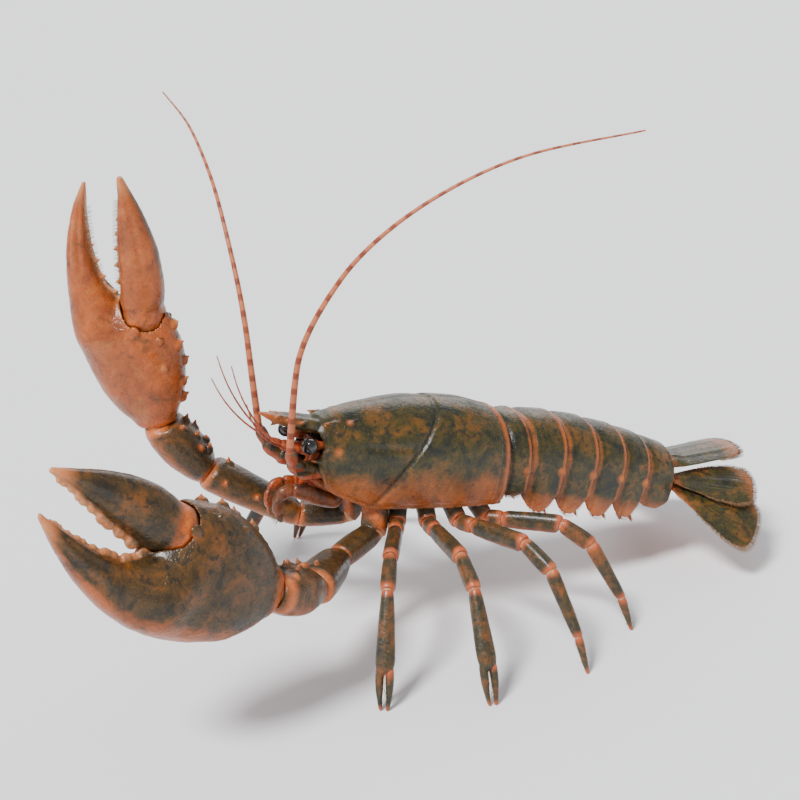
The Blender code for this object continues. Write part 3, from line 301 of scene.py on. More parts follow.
def ball(centre, sizes, turn=Matrix.Identity(3)):
    """A rounded knob with half sizes along the turned axes."""
    rows = []
    for k in range(BALL_RINGS):
        angle = math.pi * (k + 0.25) / (BALL_RINGS - 0.5)
        row = []
        for i in range(2 * BALL_RINGS):
            around = math.pi * i / BALL_RINGS
            local = (math.sin(angle) * math.cos(around), math.sin(angle) * math.sin(around),
                     math.cos(angle))
            row.append(Vector(centre) + turn @ Vector([share * size for share, size in zip(local, sizes)]))
        rows.append(row)
    return loft(rows)


def facing(direction):
    return Vector(direction).to_track_quat("Z", "Y").to_matrix()


def spine(base, direction, length, radius, tip=0.00022):
    """A spine with a spreading foot, sunk by a third of its length."""
    direction = Vector(direction).normalized()
    rows = []
    for share, size in ((-.33, 1.0), (0, .95), (.12, .70), (.35, .50), (.6, .34), (.82, .18), (1, 0)):
        half = radius * size + tip
        rows.append(ring(Vector(base) + direction * length * share, direction, Vector((.3, .5, .8)),
                         half, half, 12))
    return loft(rows)


def with_values(thing, **values):
    """The thing with its settings changed."""
    for key, value in values.items():
        setattr(thing, key, value)
    return thing


def placed(name, data):
    """A new object of the data, in the scene."""
    obj = bpy.data.objects.new(name, data)
    bpy.context.scene.collection.objects.link(obj)
    return obj


def modify(obj, kind, **values):
    with_values(obj.modifiers.new(kind.lower(), kind), **values)


def applied(obj):
    """A new mesh of the object with its modifiers applied."""
    bpy.context.view_layer.update()
    return bpy.data.meshes.new_from_object(obj.evaluated_get(bpy.context.evaluated_depsgraph_get()))


def mesh_of(name, shapes):
    """A mesh of the shapes with every face turned outwards."""
    points, faces = merged(shapes)
    mesh = bpy.data.meshes.new(name)
    mesh.from_pydata(points.tolist(), [], faces)
    bm = bmesh.new()
    bm.from_mesh(mesh)
    bmesh.ops.recalc_face_normals(bm, faces=bm.faces)
    bm.to_mesh(mesh)
    bm.free()
    return mesh


def carved(shape, cutter):
    """The shape with the room of the cutter taken out of it."""
    body, tool = (placed("carving", mesh_of("carving", [s])) for s in (shape, cutter))
    modify(body, "BOOLEAN", operation="DIFFERENCE", solver="EXACT", object=tool)
    mesh = applied(body)
    points = np.array([tuple(v.co) for v in mesh.vertices])
    faces = [tuple(face.vertices) for face in mesh.polygons]
    for mesh in (mesh, body.data, tool.data):
        bpy.data.meshes.remove(mesh)
    return points, faces


def merged(shapes):
    points, faces, start = [], [], 0
    for own_points, own_faces in shapes:
        points.append(own_points)
        faces += [tuple(i + start for i in face) for face in own_faces]
        start += len(own_points)
    return np.concatenate(points), faces


# Surface relief shared by the plates, as Blender's procedural textures

SWELLS = with_values(bpy.data.textures.new("swells", "CLOUDS"), noise_scale=0.011, noise_depth=2)
GRAINS = with_values(bpy.data.textures.new("grains", "CLOUDS"), noise_scale=0.0024, noise_depth=1)


def piece(name, shapes, material, voxel=None, swells=0.0, grains=0.0, nodes=(), slot=None, rounds=2):
    """Makes one visible piece from shapes, joined, remeshed and smoothed where voxel is given."""
    mesh = mesh_of(name, shapes)
    obj = placed(name, mesh)
    if voxel:
        modify(obj, "REMESH", mode="VOXEL", voxel_size=voxel)
        modify(obj, "SMOOTH", factor=0.5, iterations=rounds)
    for texture, strength in ((SWELLS, swells), (GRAINS, grains)):
        if strength:
            modify(obj, "DISPLACE", texture=texture, texture_coords="LOCAL", strength=strength,
                   mid_level=0.5)
    if obj.modifiers:
        obj.data = applied(obj)
        obj.modifiers.clear()
        bpy.data.meshes.remove(mesh)
    obj.data.name = name
    obj.data.materials.clear()
    obj.data.materials.append(material)
    obj.data.shade_smooth()
    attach(obj, "root")
    if nodes:
        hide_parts(*nodes)
    return obj


def points_of(obj):
    co = np.empty(len(obj.data.vertices) * 3, np.float32)
    obj.data.vertices.foreach_get("co", co)
    return co.reshape(-1, 3).astype(float)


def normals_of(obj):
    normals = np.empty(len(obj.data.vertices) * 3, np.float32)
    obj.data.vertex_normals.foreach_get("vector", normals)
    return normals.reshape(-1, 3).astype(float)


def surface(obj, place=TRUNK):
    """The piece's points and normals in the frame that place puts in the row frame."""
    inverse = np.array(place.inverted())
    points = points_of(obj) @ inverse[:3, :3].T + inverse[:3, 3]
    return points, normals_of(obj) @ np.array(place.to_3x3())


def paint(obj, warm, pale=0.0, dark=0.0):
    """Stores how warm, pale and dark the shell is at each point, which the materials read; dark holds painted
    shade in grooves as well as real dark bands.
    """
    count = len(obj.data.vertices)
    colours = np.ones((count, 4), np.float32)
    for channel, value in enumerate((warm, pale, dark)):
        colours[:, channel] = np.clip(np.broadcast_to(value, count), 0, 1)
    layer = obj.data.color_attributes.new("paint", "FLOAT_COLOR", "POINT")
    layer.data.foreach_set("color", colours.ravel())


def near_any(points, centres, reach):
    """1 at the centres, fading to 0 at reach from them."""
    best = np.full(len(points), 1e9)
    for centre in centres:
        best = np.minimum(best, np.linalg.norm(points - np.array(centre), axis=1))
    return 1 - step(0.0, reach, best)


# Materials

class Nodes:
    """A short way to add and join shader nodes."""

    def __init__(self, name):
        self.material = bpy.data.materials.new(name)
        self.material.use_nodes = True
        self.tree = self.material.node_tree
        self.shader = self.tree.nodes["Principled BSDF"]
        self.place = self.add("ShaderNodeTexCoord").outputs["Object"]

    def add(self, kind, inputs=(), **values):
        node = with_values(self.tree.nodes.new(kind), **values)
        for key, value in dict(inputs).items():
            if isinstance(value, bpy.types.NodeSocket):
                self.tree.links.new(value, node.inputs[key])
            else:
                node.inputs[key].default_value = value
        return node

    def noise(self, scale, detail=4.0, roughness=0.6, distortion=0.0):
        values = {"Vector": self.place, "Scale": scale, "Detail": detail, "Roughness": roughness,
                  "Distortion": distortion}
        return self.add("ShaderNodeTexNoise", values).outputs["Fac"]

    def ramp(self, value, *stops):
        node = self.add("ShaderNodeValToRGB", {"Fac": value})
        elements = node.color_ramp.elements
        while len(elements) < len(stops):
            elements.new(0.5)
        for element, (position, colour) in zip(elements, stops):
            element.position = position
            element.color = (*colour, 1.0) if isinstance(colour, tuple) else (colour, colour, colour, 1.0)
        return node.outputs["Color"]

    def mix(self, share, a, b):
        node = self.add("ShaderNodeMix", data_type="RGBA")
        for socket, value in ((node.inputs[0], share), (node.inputs[6], a), (node.inputs[7], b)):
            if isinstance(value, bpy.types.NodeSocket):
                self.tree.links.new(value, socket)
            else:
                socket.default_value = (*value, 1.0) if isinstance(value, tuple) else value
        return node.outputs[2]

    def math(self, operation, a, b=0.0, clamp=False):
        return self.add("ShaderNodeMath", {0: a, 1: b}, operation=operation, use_clamp=clamp).outputs[0]

    def finish(self, colour, roughness, height, depth, **constants):
        links = self.tree.links
        links.new(colour, self.shader.inputs["Base Color"])
        links.new(roughness, self.shader.inputs["Roughness"])
        bump = self.add("ShaderNodeBump", {"Height": height, "Distance": depth, "Strength": 1.0})
        links.new(bump.outputs["Normal"], self.shader.inputs["Normal"])
        for key, value in constants.items():
            self.shader.inputs[key.replace("_", " ")].default_value = value
        return self.material


BLACK_GREEN = (0.010, 0.012, 0.009)
OLIVE = (0.044, 0.036, 0.009)
TAN = (0.160, 0.062, 0.011)
RUST = (0.430, 0.072, 0.009)
RED = (0.460, 0.040, 0.009)
CREAM = (0.680, 0.440, 0.230)
PALE_ORANGE = (0.620, 0.250, 0.070)


def shell_material(name, deep, middle, light, warm_low, warm_high, mottle=60.0, spots=0.55):
    """Lobster shell: dark mottling over brown, warm and pale where the piece's paint says so, and darkened by
    the paint's dark share, which is painted shade in the grooves of the carapace and tail rings and real dark
    bands on the feelers.
    """
    n = Nodes(name)
    attribute = n.add("ShaderNodeAttribute", attribute_name="paint")
    split = n.add("ShaderNodeSeparateColor", {"Color": attribute.outputs["Color"]})
    broad = n.noise(mottle, 7.0, 0.68, 0.6)
    fine = n.noise(mottle * 4.6, 5.0, 0.62, 0.3)
    speck = n.noise(mottle * 14.0, 3.0, 0.6)
    base = n.ramp(broad, (0.34, deep), (0.50, middle), (0.68, light))
    blotch = n.ramp(fine, (spots - 0.05, 0.0), (spots + 0.07, 1.0))
    base = n.mix(n.math("MULTIPLY", blotch, 0.80), base, deep)
    base = n.mix(n.ramp(speck, (0.60, 0.0), (0.72, 0.55)), base, light)
    warm = n.ramp(fine, (0.35, warm_low), (0.62, warm_high))
    clouds = n.noise(mottle * 1.7, 5.0, 0.66, 0.8)
    warm = n.mix(n.ramp(clouds, (0.54, 0.0), (0.74, 0.50)), warm, PALE_ORANGE)
    warm = n.mix(n.ramp(clouds, (0.30, 0.75), (0.45, 0.0)), warm, middle)
    warm = n.mix(n.ramp(speck, (0.58, 0.0), (0.70, 0.5)), warm, deep)
    share = n.math("ADD", split.outputs["Red"], n.math("MULTIPLY", n.math("SUBTRACT", broad, 0.5), 1.1))
    share = n.math("MULTIPLY", share, n.ramp(split.outputs["Red"], (0.02, 0.0), (0.25, 1.0)), clamp=True)
    colour = n.mix(share, base, warm)
    colour = n.mix(split.outputs["Green"], colour, n.mix(fine, CREAM, warm_high))
    # Darkened by the paint's dark share: painted shade in the shell's grooves, real dark bands on the
    # feelers.
    colour = n.mix(n.math("MULTIPLY", split.outputs["Blue"], 0.75), colour, BLACK_GREEN)
    roughness = n.ramp(fine, (0.3, 0.24), (0.7, 0.40))
    cells = n.add("ShaderNodeTexVoronoi", {"Vector": n.place, "Scale": mottle * 13.0}, feature="SMOOTH_F1")
    pits = n.ramp(cells.outputs["Distance"], (0.10, 0.0), (0.38, 1.0))
    height = n.math("ADD", n.math("MULTIPLY", pits, 0.6), n.math("MULTIPLY", speck, 0.7))
    return n.finish(colour, roughness, height, 0.00022, Specular_IOR_Level=0.32, Coat_Weight=0.12,
                    Coat_Roughness=0.16)


def setae_material():
    """Brown hair of the fringes."""
    n = Nodes("setae")
    tone = n.noise(900.0, 2.0)
    colour = n.ramp(tone, (0.3, (0.10, 0.045, 0.016)), (0.7, (0.26, 0.13, 0.05)))
    return n.finish(colour, n.ramp(tone, (0, 0.55), (1, 0.7)), tone, 0.00005)


def cornea_material():
    n = Nodes("cornea")
    tone = n.noise(400.0, 2.0)
    cells = n.add("ShaderNodeTexVoronoi", {"Vector": n.place, "Scale": 5200.0})
    colour = n.ramp(tone, (0.3, (0.004, 0.004, 0.006)), (0.8, (0.016, 0.012, 0.012)))
    return n.finish(colour, n.ramp(tone, (0, 0.08), (1, 0.16)), cells.outputs["Distance"], 0.00002,
                    Coat_Weight=0.6, Coat_Roughness=0.05)


def membrane_material():
    """The soft skin of the joints and the belly."""
    n = Nodes("joint_skin")
    tone = n.noise(170.0, 5.0, 0.6)
    colour = n.ramp(tone, (0.32, (0.34, 0.13, 0.055)), (0.55, (0.50, 0.24, 0.12)), (0.75, (0.60, 0.36, 0.20)))
    return n.finish(colour, n.ramp(tone, (0, 0.36), (1, 0.5)), n.noise(900.0, 3.0), 0.00015)


SHELL = shell_material("shell", BLACK_GREEN, OLIVE, TAN, RUST, (0.48, 0.120, 0.020))
CLAW_SHELL = shell_material("claw_shell", (0.014, 0.012, 0.008), (0.060, 0.033, 0.010), (0.18, 0.060, 0.012),
                            RUST, (0.50, 0.110, 0.018), mottle=52.0, spots=0.57)
LEG_SHELL = shell_material("leg_shell", (0.012, 0.016, 0.014), (0.050, 0.036, 0.014), (0.20, 0.060, 0.014),
                           RED, RUST, mottle=85.0, spots=0.58)
FEELER_SHELL = shell_material("feeler_shell", (0.085, 0.016, 0.008), (0.26, 0.040, 0.014),
                              (0.42, 0.085, 0.025), RED, (0.52, 0.12, 0.035), mottle=140.0, spots=0.62)
SETAE = setae_material()
CORNEA = cornea_material()
JOINT_SKIN = membrane_material()


# Carapace

def carapace_point(share, y):
    """(x, z) on the carapace's outline at y, share 0 under the middle to 1 on the back."""
    t = 1 + y / CARAPACE_LENGTH
    width = CARAPACE_HALF_WIDTH * smooth(CARAPACE_WIDTHS, t)
    top = CARAPACE_HEIGHT * smooth(CARAPACE_TOPS, t)
    rise = (HEAD_UNDERSIDE_END - y) / (HEAD_UNDERSIDE_END + CARAPACE_LENGTH)
    bottom = HEAD_UNDERSIDE_RISE * max(0.0, rise)
    flat, waist = 0.80 * width, bottom + 0.42 * (top - bottom)
    if share < 0.2:
        return flat * share / 0.2, bottom
    if share < 0.45:
        turn = (share - 0.2) / 0.25 * math.pi / 2
        return flat + (width - flat) * math.sin(turn), bottom + (waist - bottom) * (1 - math.cos(turn))
    turn = (share - 0.45) / 0.55 * math.pi / 2
    x, z = (power_of(way(turn), CARAPACE_POWER) for way in (math.cos, math.sin))
    return width * x, waist + (top - waist) * z


def carapace_inset(t, share):
    """How far the shell is sunk, for its grooves and rims, at ring t and share round the outline."""
    on_side, behind = step(0.22, 0.30, share), t - GROOVE_AT
    back, under = step(.10, .20, t), 1 - step(0.10, 0.17, share)
    cheek = step(.14, .26, t) * (1 - step(.40, .46, t))
    flank = step(.47, .52, t) * (1 - step(.72, .86, t))
    inset = 0.0017 * bell(behind, 0.014) * on_side * (0.55 + 0.45 * (1 - step(.7, .98, share)))
    inset += 0.0006 * bell(behind + 0.03, 0.05) * on_side
    inset += 0.0011 * bell(share - 0.56 + 0.10 * behind, 0.018) * cheek
    inset += 0.0008 * bell(share - 0.66 - 0.35 * behind, 0.020) * flank
    inset += 0.0007 * bell(1 - share, 0.008) * step(.1, .2, t)
    inset += 0.0011 * bell(t - 0.957, 0.007) * on_side
    inset += 0.0009 * bell(share - 0.262, 0.014)
    inset -= 0.0007 * bell(share - 0.222, 0.014)
    inset += 0.0028 * under * back
    inset += MOUTH_DEPTH * (1 - step(0.11, 0.20, share)) * (1 - back)
    inset += 0.0010 * bell(t, 0.012) - 0.0005 * bell(t - 0.030, 0.012)
    return inset


def front_margin(t, z):
    """How far back the front edge is set beside the eyes and at its lower corner."""
    orbit = ORBIT_DEPTH * bell(z - ORBIT_HEIGHT, 0.0055)
    corner = CORNER_DEPTH * (1 - step(CORNER_LOW, CORNER_HIGH, z))
    return (orbit + corner) * max(0.0, 1 - t / FRONT_EASE) ** 2


def both_halves(half):
    """A whole section from the half that runs from the middle underneath to the middle on top."""
    return half + [Vector((-p.x, p.y, p.z)) for p in half[-2:0:-1]]


def carapace_ring(t, half_count):
    lean = GROOVE_LEAN * (t / GROOVE_AT if t < GROOVE_AT else (1 - t) / (1 - GROOVE_AT))
    y0 = CARAPACE_LENGTH * (t - 1)
    half = []
    for k in range(half_count + 1):
        share, y = k / half_count, y0
        for _ in range(4):
            x, z = carapace_point(share, y)
            y = y0 + lean * (z - CARAPACE_HEIGHT / 2)
        y += front_margin(t, z)
        inward = Vector((x, 0.0, z - CARAPACE_HEIGHT * 0.42)).normalized()
        depth = carapace_inset(t, share)
        half.append(Vector((x, y, z)) - inward * depth)
    return both_halves(half)


def drawn_in(points, share, back):
    """A ring shrunk towards its own middle and moved along the body."""
    middle = sum(points, Vector()) / len(points)
    return [middle + (p - middle) * share + Vector((0, back, 0)) for p in points]


def rostrum_ring(out, half_width, half_height, z):
    """A section of the rostrum, hollowed along the top between two keels."""
    points = ring(Vector((0, FRONT - out, z)), Vector((0, -1, 0.08)), ACROSS, half_width, half_height,
                  48, 2.4)
    hollow = 0.42 * half_height
    for p in points:
        if p.z > z:
            p.z -= hollow * bell(p.x, 0.45 * half_width)
    return points


def make_carapace():
    rings = [carapace_ring(t, CARAPACE_SIDES) for t in spaced(0, 1, CARAPACE_RINGS)]
    mouth = [drawn_in(rings[0], s, b) for s, b in ((.45, .0066), (.82, .0060), (.91, .0036), (.965, .0010))]
    lip = [drawn_in(rings[-1], s, b)
           for s, b in ((.972, .0007), (.945, .0002), (.935, -.0040), (.5, -.0044))]
    outs = spaced(ROSTRUM[0][0], ROSTRUM[-1][0], 50)
    beak = [rostrum_ring(out, *(smooth([(row[0], row[i]) for row in ROSTRUM], out) for i in (1, 2, 3)))
            for out in outs]
    shapes = [loft(mouth + rings + lip, TRUNK), loft(beak, TRUNK)]
    tips = []
    for side in SIDES:
        tips += [((side * x, FRONT - out, z), (side * .45, -.85, .25), length, .0014)
                 for out, x, z, length in ROSTRUM_SPINES]
        tips += [((side * x, FRONT + y, z), (side * .15, -1, .18), length, radius)
                 for x, y, z, length, radius in HEAD_SPINES]
    tips += [((0, FRONT - out, .0455), (0, -.8, -.5), .0028, .0011) for out in (.012, .022)]
    shapes += [spine(TRUNK @ Vector(base), TRUNK_TURN @ Vector(way), length, radius)
               for base, way, length, radius in tips]
    shell = piece("carapace", shapes, SHELL, SHELL_VOXEL, 0.0005, 0.00016, ("head", "thorax"), "shell")
    p, n = surface(shell)
    t = 1 + p[:, 1] / CARAPACE_LENGTH
    ends = [np.array(base) + np.array(Vector(way).normalized()) * length * 0.8
            for base, way, length, _ in tips]
    low = 1 - step(0.002, 0.030, p[:, 2])
    rear_rim = bell(t - 0.985, 0.014)
    beak_tip = step(0.010, 0.030, -p[:, 1] - CARAPACE_LENGTH)
    # Painted shade in the cervical groove: the shell is darkened along it, above its lowest edge.
    painted_groove_shade = bell(t - GROOVE_AT - (p[:, 2] - .03) * GROOVE_LEAN / CARAPACE_LENGTH, 0.010)
    warm = np.maximum.reduce([0.85 * near_any(p, ends, 0.0040), 0.55 * low, 0.75 * rear_rim, 0.8 * beak_tip,
                              0.9 * step(0.2, 0.8, -n[:, 2]) * step(.1, .2, t)])
    paint(shell, warm, 0.35 * near_any(p, ends, 0.0022), 0.7 * painted_groove_shade * step(0.004, 0.012, p[:, 2]))


# Tail

def tail_frame(a):
    """Frame of the tail at a, counted in rings from the carapace: origin on the belly, Y along it."""
    at, bend = Vector((0, GAP, TAIL_BELLY)), 0.0
    for k, length in enumerate(TAIL_LENGTHS):
        share = min(max(a - k, 0.0), 1.0)
        before = bend
        bend += math.radians(TAIL_BENDS[k + 1]) * share
        heading = (before + bend) / 2
        at = at + Vector((0, math.cos(heading), math.sin(heading))) * length * share
    return Matrix.Translation(at) @ Matrix.Rotation(bend, 4, "X")


def tail_outline(k, share, arch):
    """Half an outline of ring k of the tail in its frame: belly, side flap, side and back."""
    held = min(share, 1.0)
    swell = smooth(((0, .93), (.20, .945), (.30, .985), (.75, 1.0), (.93, 1.0), (1, .99)), share)
    swell -= 0.014 * bell(share - 0.30, 0.035) - 0.010 * bell(share - 0.97, 0.03)
    width, height = ((row[k] * (1 - held) + row[k + 1] * held) * swell
                     for row in (TAIL_HALF_WIDTHS, TAIL_HEIGHTS))
    flap = TAIL_FLAPS[k] * smooth(((0, .25), (.3, .85), (.6, 1.0), (.82, .75), (1, .22)), held)
    waist = 0.36 * height
    belly = 0.0022
    corners = [(0, belly), (0.45 * width, belly), (0.76 * width, belly * 0.7), (0.86 * width, -0.5 * flap),
               (0.900 * width, -0.9 * flap - 0.0008), (0.925 * width, -flap - 0.0010),
               (0.952 * width, -0.8 * flap), (0.978 * width, -0.35 * flap), (0.99 * width, 0.25 * waist)]
    points = []
    for (x0, z0), (x1, z1) in zip(corners, corners[1:]):
        points += [Vector((x0 + (x1 - x0) * s / 3, 0, z0 + (z1 - z0) * s / 3)) for s in range(3)]
    points.append(Vector((corners[-1][0], 0, corners[-1][1])))
    for i in range(1, arch):
        x, z = (power_of(way(math.pi / 2 * i / (arch - 1)), TAIL_POWER) for way in (math.cos, math.sin))
        points.append(Vector((width * x, 0, waist + (height - waist) * z)))
    return points


def tail_ring(k, share, shrink=1.0):
    place = tail_frame(k + min(share, 1.0))
    beyond = Vector((0, max(share - 1.0, 0.0) * TAIL_LENGTHS[k], 0))
    half = tail_outline(k, share, TAIL_SIDES)
    middle = Vector((0, 0, 0.014))
    return [place @ (middle + (p - middle) * shrink + beyond) for p in both_halves(half)]


def make_tail():
    last = len(TAIL_LENGTHS) - 1
    for k, length in enumerate(TAIL_LENGTHS):
        width, hinge_height = TAIL_HALF_WIDTHS[k], 0.30 * TAIL_HEIGHTS[k + 1]
        lap = 0.0012 / length if k < last else 0.0
        rings = [tail_ring(k, 0.0, 0.90)]
        rings += [tail_ring(k, share) for share in spaced(0, 1 + lap, TAIL_RINGS)]
        if k < last:
            rings += [tail_ring(k, 1 + lap, .978), tail_ring(k, 1 + lap * .6, .962), tail_ring(k, 0.93, .955)]
        shapes = [loft(rings, TRUNK)]
        if k < last:
            hinge = TRUNK @ tail_frame(k + 1)
            shapes += [ball(hinge @ Vector((side * (TAIL_HALF_WIDTHS[k + 1] * 0.985), -.0005, hinge_height)),
                            (.0012, .0024, .0024)) for side in SIDES]
        place = TRUNK @ tail_frame(k + 0.45)
        shapes += [ball(place @ Vector((x * width, 0, 0.0022)), (width * .36, .0022, .0016))
                   for x in spaced(-0.6, 0.6, 3)]
        plate = piece(f"abdomen_plate_{k + 1}", shapes, SHELL, SHELL_VOXEL, 0.0004, 0.00014,
                      (f"abdomen_{k + 1}",), "shell")
        p, n = surface(plate, TRUNK @ tail_frame(k + 0.5))
        along = p[:, 1] / length + 0.5
        rim = bell(along - 1.0, 0.055)
        flap = 1 - step(-0.012, 0.003, p[:, 2])
        hinge_spot = near_any(p, [(side * width * .98, length * .48, hinge_height) for side in SIDES], 0.005)
        under = step(0.3, 0.8, -n[:, 2]) * (np.abs(p[:, 0]) < 0.8 * width)
        facet = 1 - step(0.16, 0.26, along)
        warm = np.maximum.reduce([0.75 * rim, 0.85 * flap, 0.9 * hinge_spot, under, 0.4 * facet])
        # The dark share is painted shade along the ring's cross groove, where its outline dips.
        paint(plate, warm, 0.5 * under + 0.1 * hinge_spot, 0.6 * bell(along - 0.28, 0.03))
        if k < last:
            make_swimmerets(k)
            make_flap_fringe(k)


def make_swimmerets(k):
    """The stalks and leaf-shaped paddles under ring k of the tail."""
    place = TRUNK @ tail_frame(k + 0.42)
    turn = place.to_3x3()
    size = 0.55 if k == 0 else 1.0
    width = TAIL_HALF_WIDTHS[k] * 0.56
    shapes, hairs = [], []
    for side in SIDES:
        root = Vector((side * width, 0, 0.0035))
        foot = Vector((side * (width + .001), .003 * size, -.007 * size))
        shapes.append(loft([ring(place @ root.lerp(foot, s), turn @ (foot - root), turn @ ACROSS,
                                 .0026 - .0006 * s, .0017 - .0004 * s, 16) for s in spaced(0, 1.1, 6)]))
        for lean in SIDES:
            way = Vector((side * (0.10 + lean * 0.20), 0.52 + lean * 0.12, -0.82)).normalized()
            start = foot + Vector((side * lean * 0.0011, lean * 0.0003, 0.0026))
            rows = []
            for s in spaced(0, 1, 14):
                wide = smooth(((0, .0015), (.25, .0028), (.6, .0034), (.85, .0026), (1, .0005)), s) * size
                middle = start + way * .0150 * size * s
                rows.append(ring(place @ middle, turn @ way, turn @ ACROSS, wide, .00035, 16))
                if s > 0.3:
                    hairs += [(place @ (middle + Vector((edge * wide, 0, 0))),
                               turn @ (way + Vector((edge * (1.1 - s), 0, 0))), .0022 * size)
                              for edge in SIDES]
            shapes.append(loft(rows))
    made = piece(f"swimmerets_{k + 1}", shapes, FEELER_SHELL)
    paint(made, 0.6, 0.15)
    strands(f"swimmeret_setae_{k + 1}", hairs, 0.00009)


# Faces of a hair with three rings of three points and a tip, and the size of its patch on the map
HAIR_FACES = [(row + k, row + (k + 1) % 3, row + 3 + (k + 1) % 3, row + 3 + k)
              for row in (0, 3) for k in range(3)]
HAIR_FACES += [(6 + k, 6 + (k + 1) % 3, 9) for k in range(3)] + [(2, 1, 0)]
HAIR_PATCH = 0.003


def strands(name, roots, radius, curl=0.25):
    """Tapered hairs at (root, direction, length), as one mesh with a map that places each at its root."""
    points, faces, uvs = [], [], []
    for number, (root, way, length) in enumerate(roots):
        root, way = Vector(root), Vector(way).normalized()
        side = way.orthogonal().normalized()
        over = way.cross(side)
        bend = (side * random.uniform(-1, 1) + over * random.uniform(-1, 1)) * curl * length
        length = length * random.uniform(0.75, 1.0)
        faces += [tuple(len(points) + corner for corner in face) for face in HAIR_FACES]
        for share, size in ((-0.12, 1.0), (0.35, 0.8), (0.7, 0.5)):
            centre = root + way * length * share + bend * share * abs(share)
            for k in range(3):
                angle = math.tau * k / 3
                points.append(centre + (side * math.cos(angle) + over * math.sin(angle)) * radius * size)
        points.append(root + way * length + bend)
        u, v = (number % 60) / 60, (number // 60) / 60
        uvs += [(u + HAIR_PATCH * (k % 4 in (1, 2)), v + HAIR_PATCH * (k % 4 in (2, 3)))
                for k in range(sum(map(len, HAIR_FACES)))]
    mesh = bpy.data.meshes.new(name)
    mesh.from_pydata([tuple(p) for p in points], [], faces)
    mesh.uv_layers.new(name="OFBake").data.foreach_set("uv", np.array(uvs, np.float32).ravel())
    mesh.materials.append(SETAE)
    mesh.shade_smooth()
    obj = placed(name, mesh)
    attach(obj, "root")


def make_flap_fringe(k):
    """Short hair along the lower edge of the side flaps."""
    hairs = []
    for side in SIDES:
        for share in spaced(0.25, 0.97, 46):
            place = TRUNK @ tail_frame(k + share)
            lowest = min(tail_outline(k, share, 10), key=lambda p: p.z)
            hairs.append((place @ Vector((side * lowest.x, 0, lowest.z + .0003)),
                          place.to_3x3() @ Vector((0, 0.4, -1)), .0021))
    strands(f"flap_setae_{k + 1}", hairs, 0.00008)


# Tail fan

def blade_point(side, sizes, x, t, z, length):
    """A point of a fan blade in the last tail ring's frame: x across it, t along it, z off its middle."""
    turn = Matrix.Rotation(-side * math.radians(sizes["out"]), 3, "Z")
    ease = min(1.0, t / BLADE_TURN)
    swung = turn @ Vector((x, length * t, 0)) * ease + Vector((x, 0, 0)) * (1 - ease)
    swung.y += FAN_STEM * ease
    point = Vector((side * sizes["x"], GAP, sizes["z"])) + swung + Vector((0, 0, z))
    point.z += ease * (FAN_RISE * swung.y - FAN_ARCH * point.x ** 2)
    return point


def blade_width(sizes, t):
    """Half the blade's width at t, rounded off at its end."""
    rounded = max(0.0, (t - ROUND_FROM) / (1 - ROUND_FROM))
    share = smooth(sizes["widths"], min(t, ROUND_FROM)) * (1 - rounded ** 2.5) ** 0.4
    return (sizes["half_width"] - FRINGE * 0.5 * t) * share


def end_places(last, count):
    """Places along a blade's rounded end, closer together towards its tip."""
    return [ROUND_FROM + (1 - ROUND_FROM) * math.sin(math.pi / 2 * s) for s in spaced(0, last, count)]


def blade_height(kind, across, t):
    """Ridges and furrows on a blade's upper face; across runs from -1 to 1."""
    if kind == "telson":
        keels = 0.9 * bell(abs(across) - 0.42, 0.10) + 0.5 * bell(across, 0.08)
        return 0.0007 * (keels * (1 - step(.80, .97, t)))
    keel = 0.0010 * (bell(across, 0.10) * (1 - step(.78, .95, t)))
    if kind == "uropod_outer":
        keel -= 0.0004 * bell(t - 0.70 + 0.06 * across ** 2, 0.016)
        keel += 0.0006 * bell(t - 0.675 + 0.06 * across ** 2, 0.018)
    return keel + 0.00014 * math.sin(42 * across) * step(.3, .5, t)


def make_blade(kind, side, name):
    sizes = FAN[kind]
    place = TRUNK @ tail_frame(len(TAIL_LENGTHS))
    length = sizes["length"] - FRINGE * 0.85
    rings = []
    for t in spaced(-0.04, ROUND_FROM - 0.01, BLADE_RINGS) + end_places(.97, 26):
        held = max(t, 0.0)
        half_width = blade_width(sizes, held)
        thick = 0.0010 * smooth(((0, 1.0), (.3, .78), (.7, .56), (1, .44)), held)
        thick += (sizes["root"] - 0.0011) * max(0.0, 1 - 4.5 * held)
        points = []
        for i, (across, up) in enumerate(oval(BLADE_SIDES, SECTION_POWER)):
            z = thick * up
            if z > 0:
                z += blade_height(kind, across, held) * math.sin(math.tau * (i + 0.5) / BLADE_SIDES) ** 2
            p = blade_point(side, sizes, half_width * across, held, z, length)
            p.y += min(t, 0.0) * 0.06
            points.append(place @ p)
        rings.append(points)
    blade = piece(name, [loft(rings)], SHELL, BLADE_VOXEL, 0.0002, 0.00012, (name.replace("fan_", ""),),
                  "shell", 1)
    p, n = surface(blade, place)
    away = p[:, 1]
    edge = step(0.040, 0.060, away)
    warm = np.maximum(0.55 * edge, 0.75 * step(0.2, 0.7, -n[:, 2]))
    paint(blade, np.maximum(warm, 0.6 * (1 - step(0.002, 0.010, away))), 0.10 * edge)
    blade_fringe(kind, side, name, sizes, place, length)


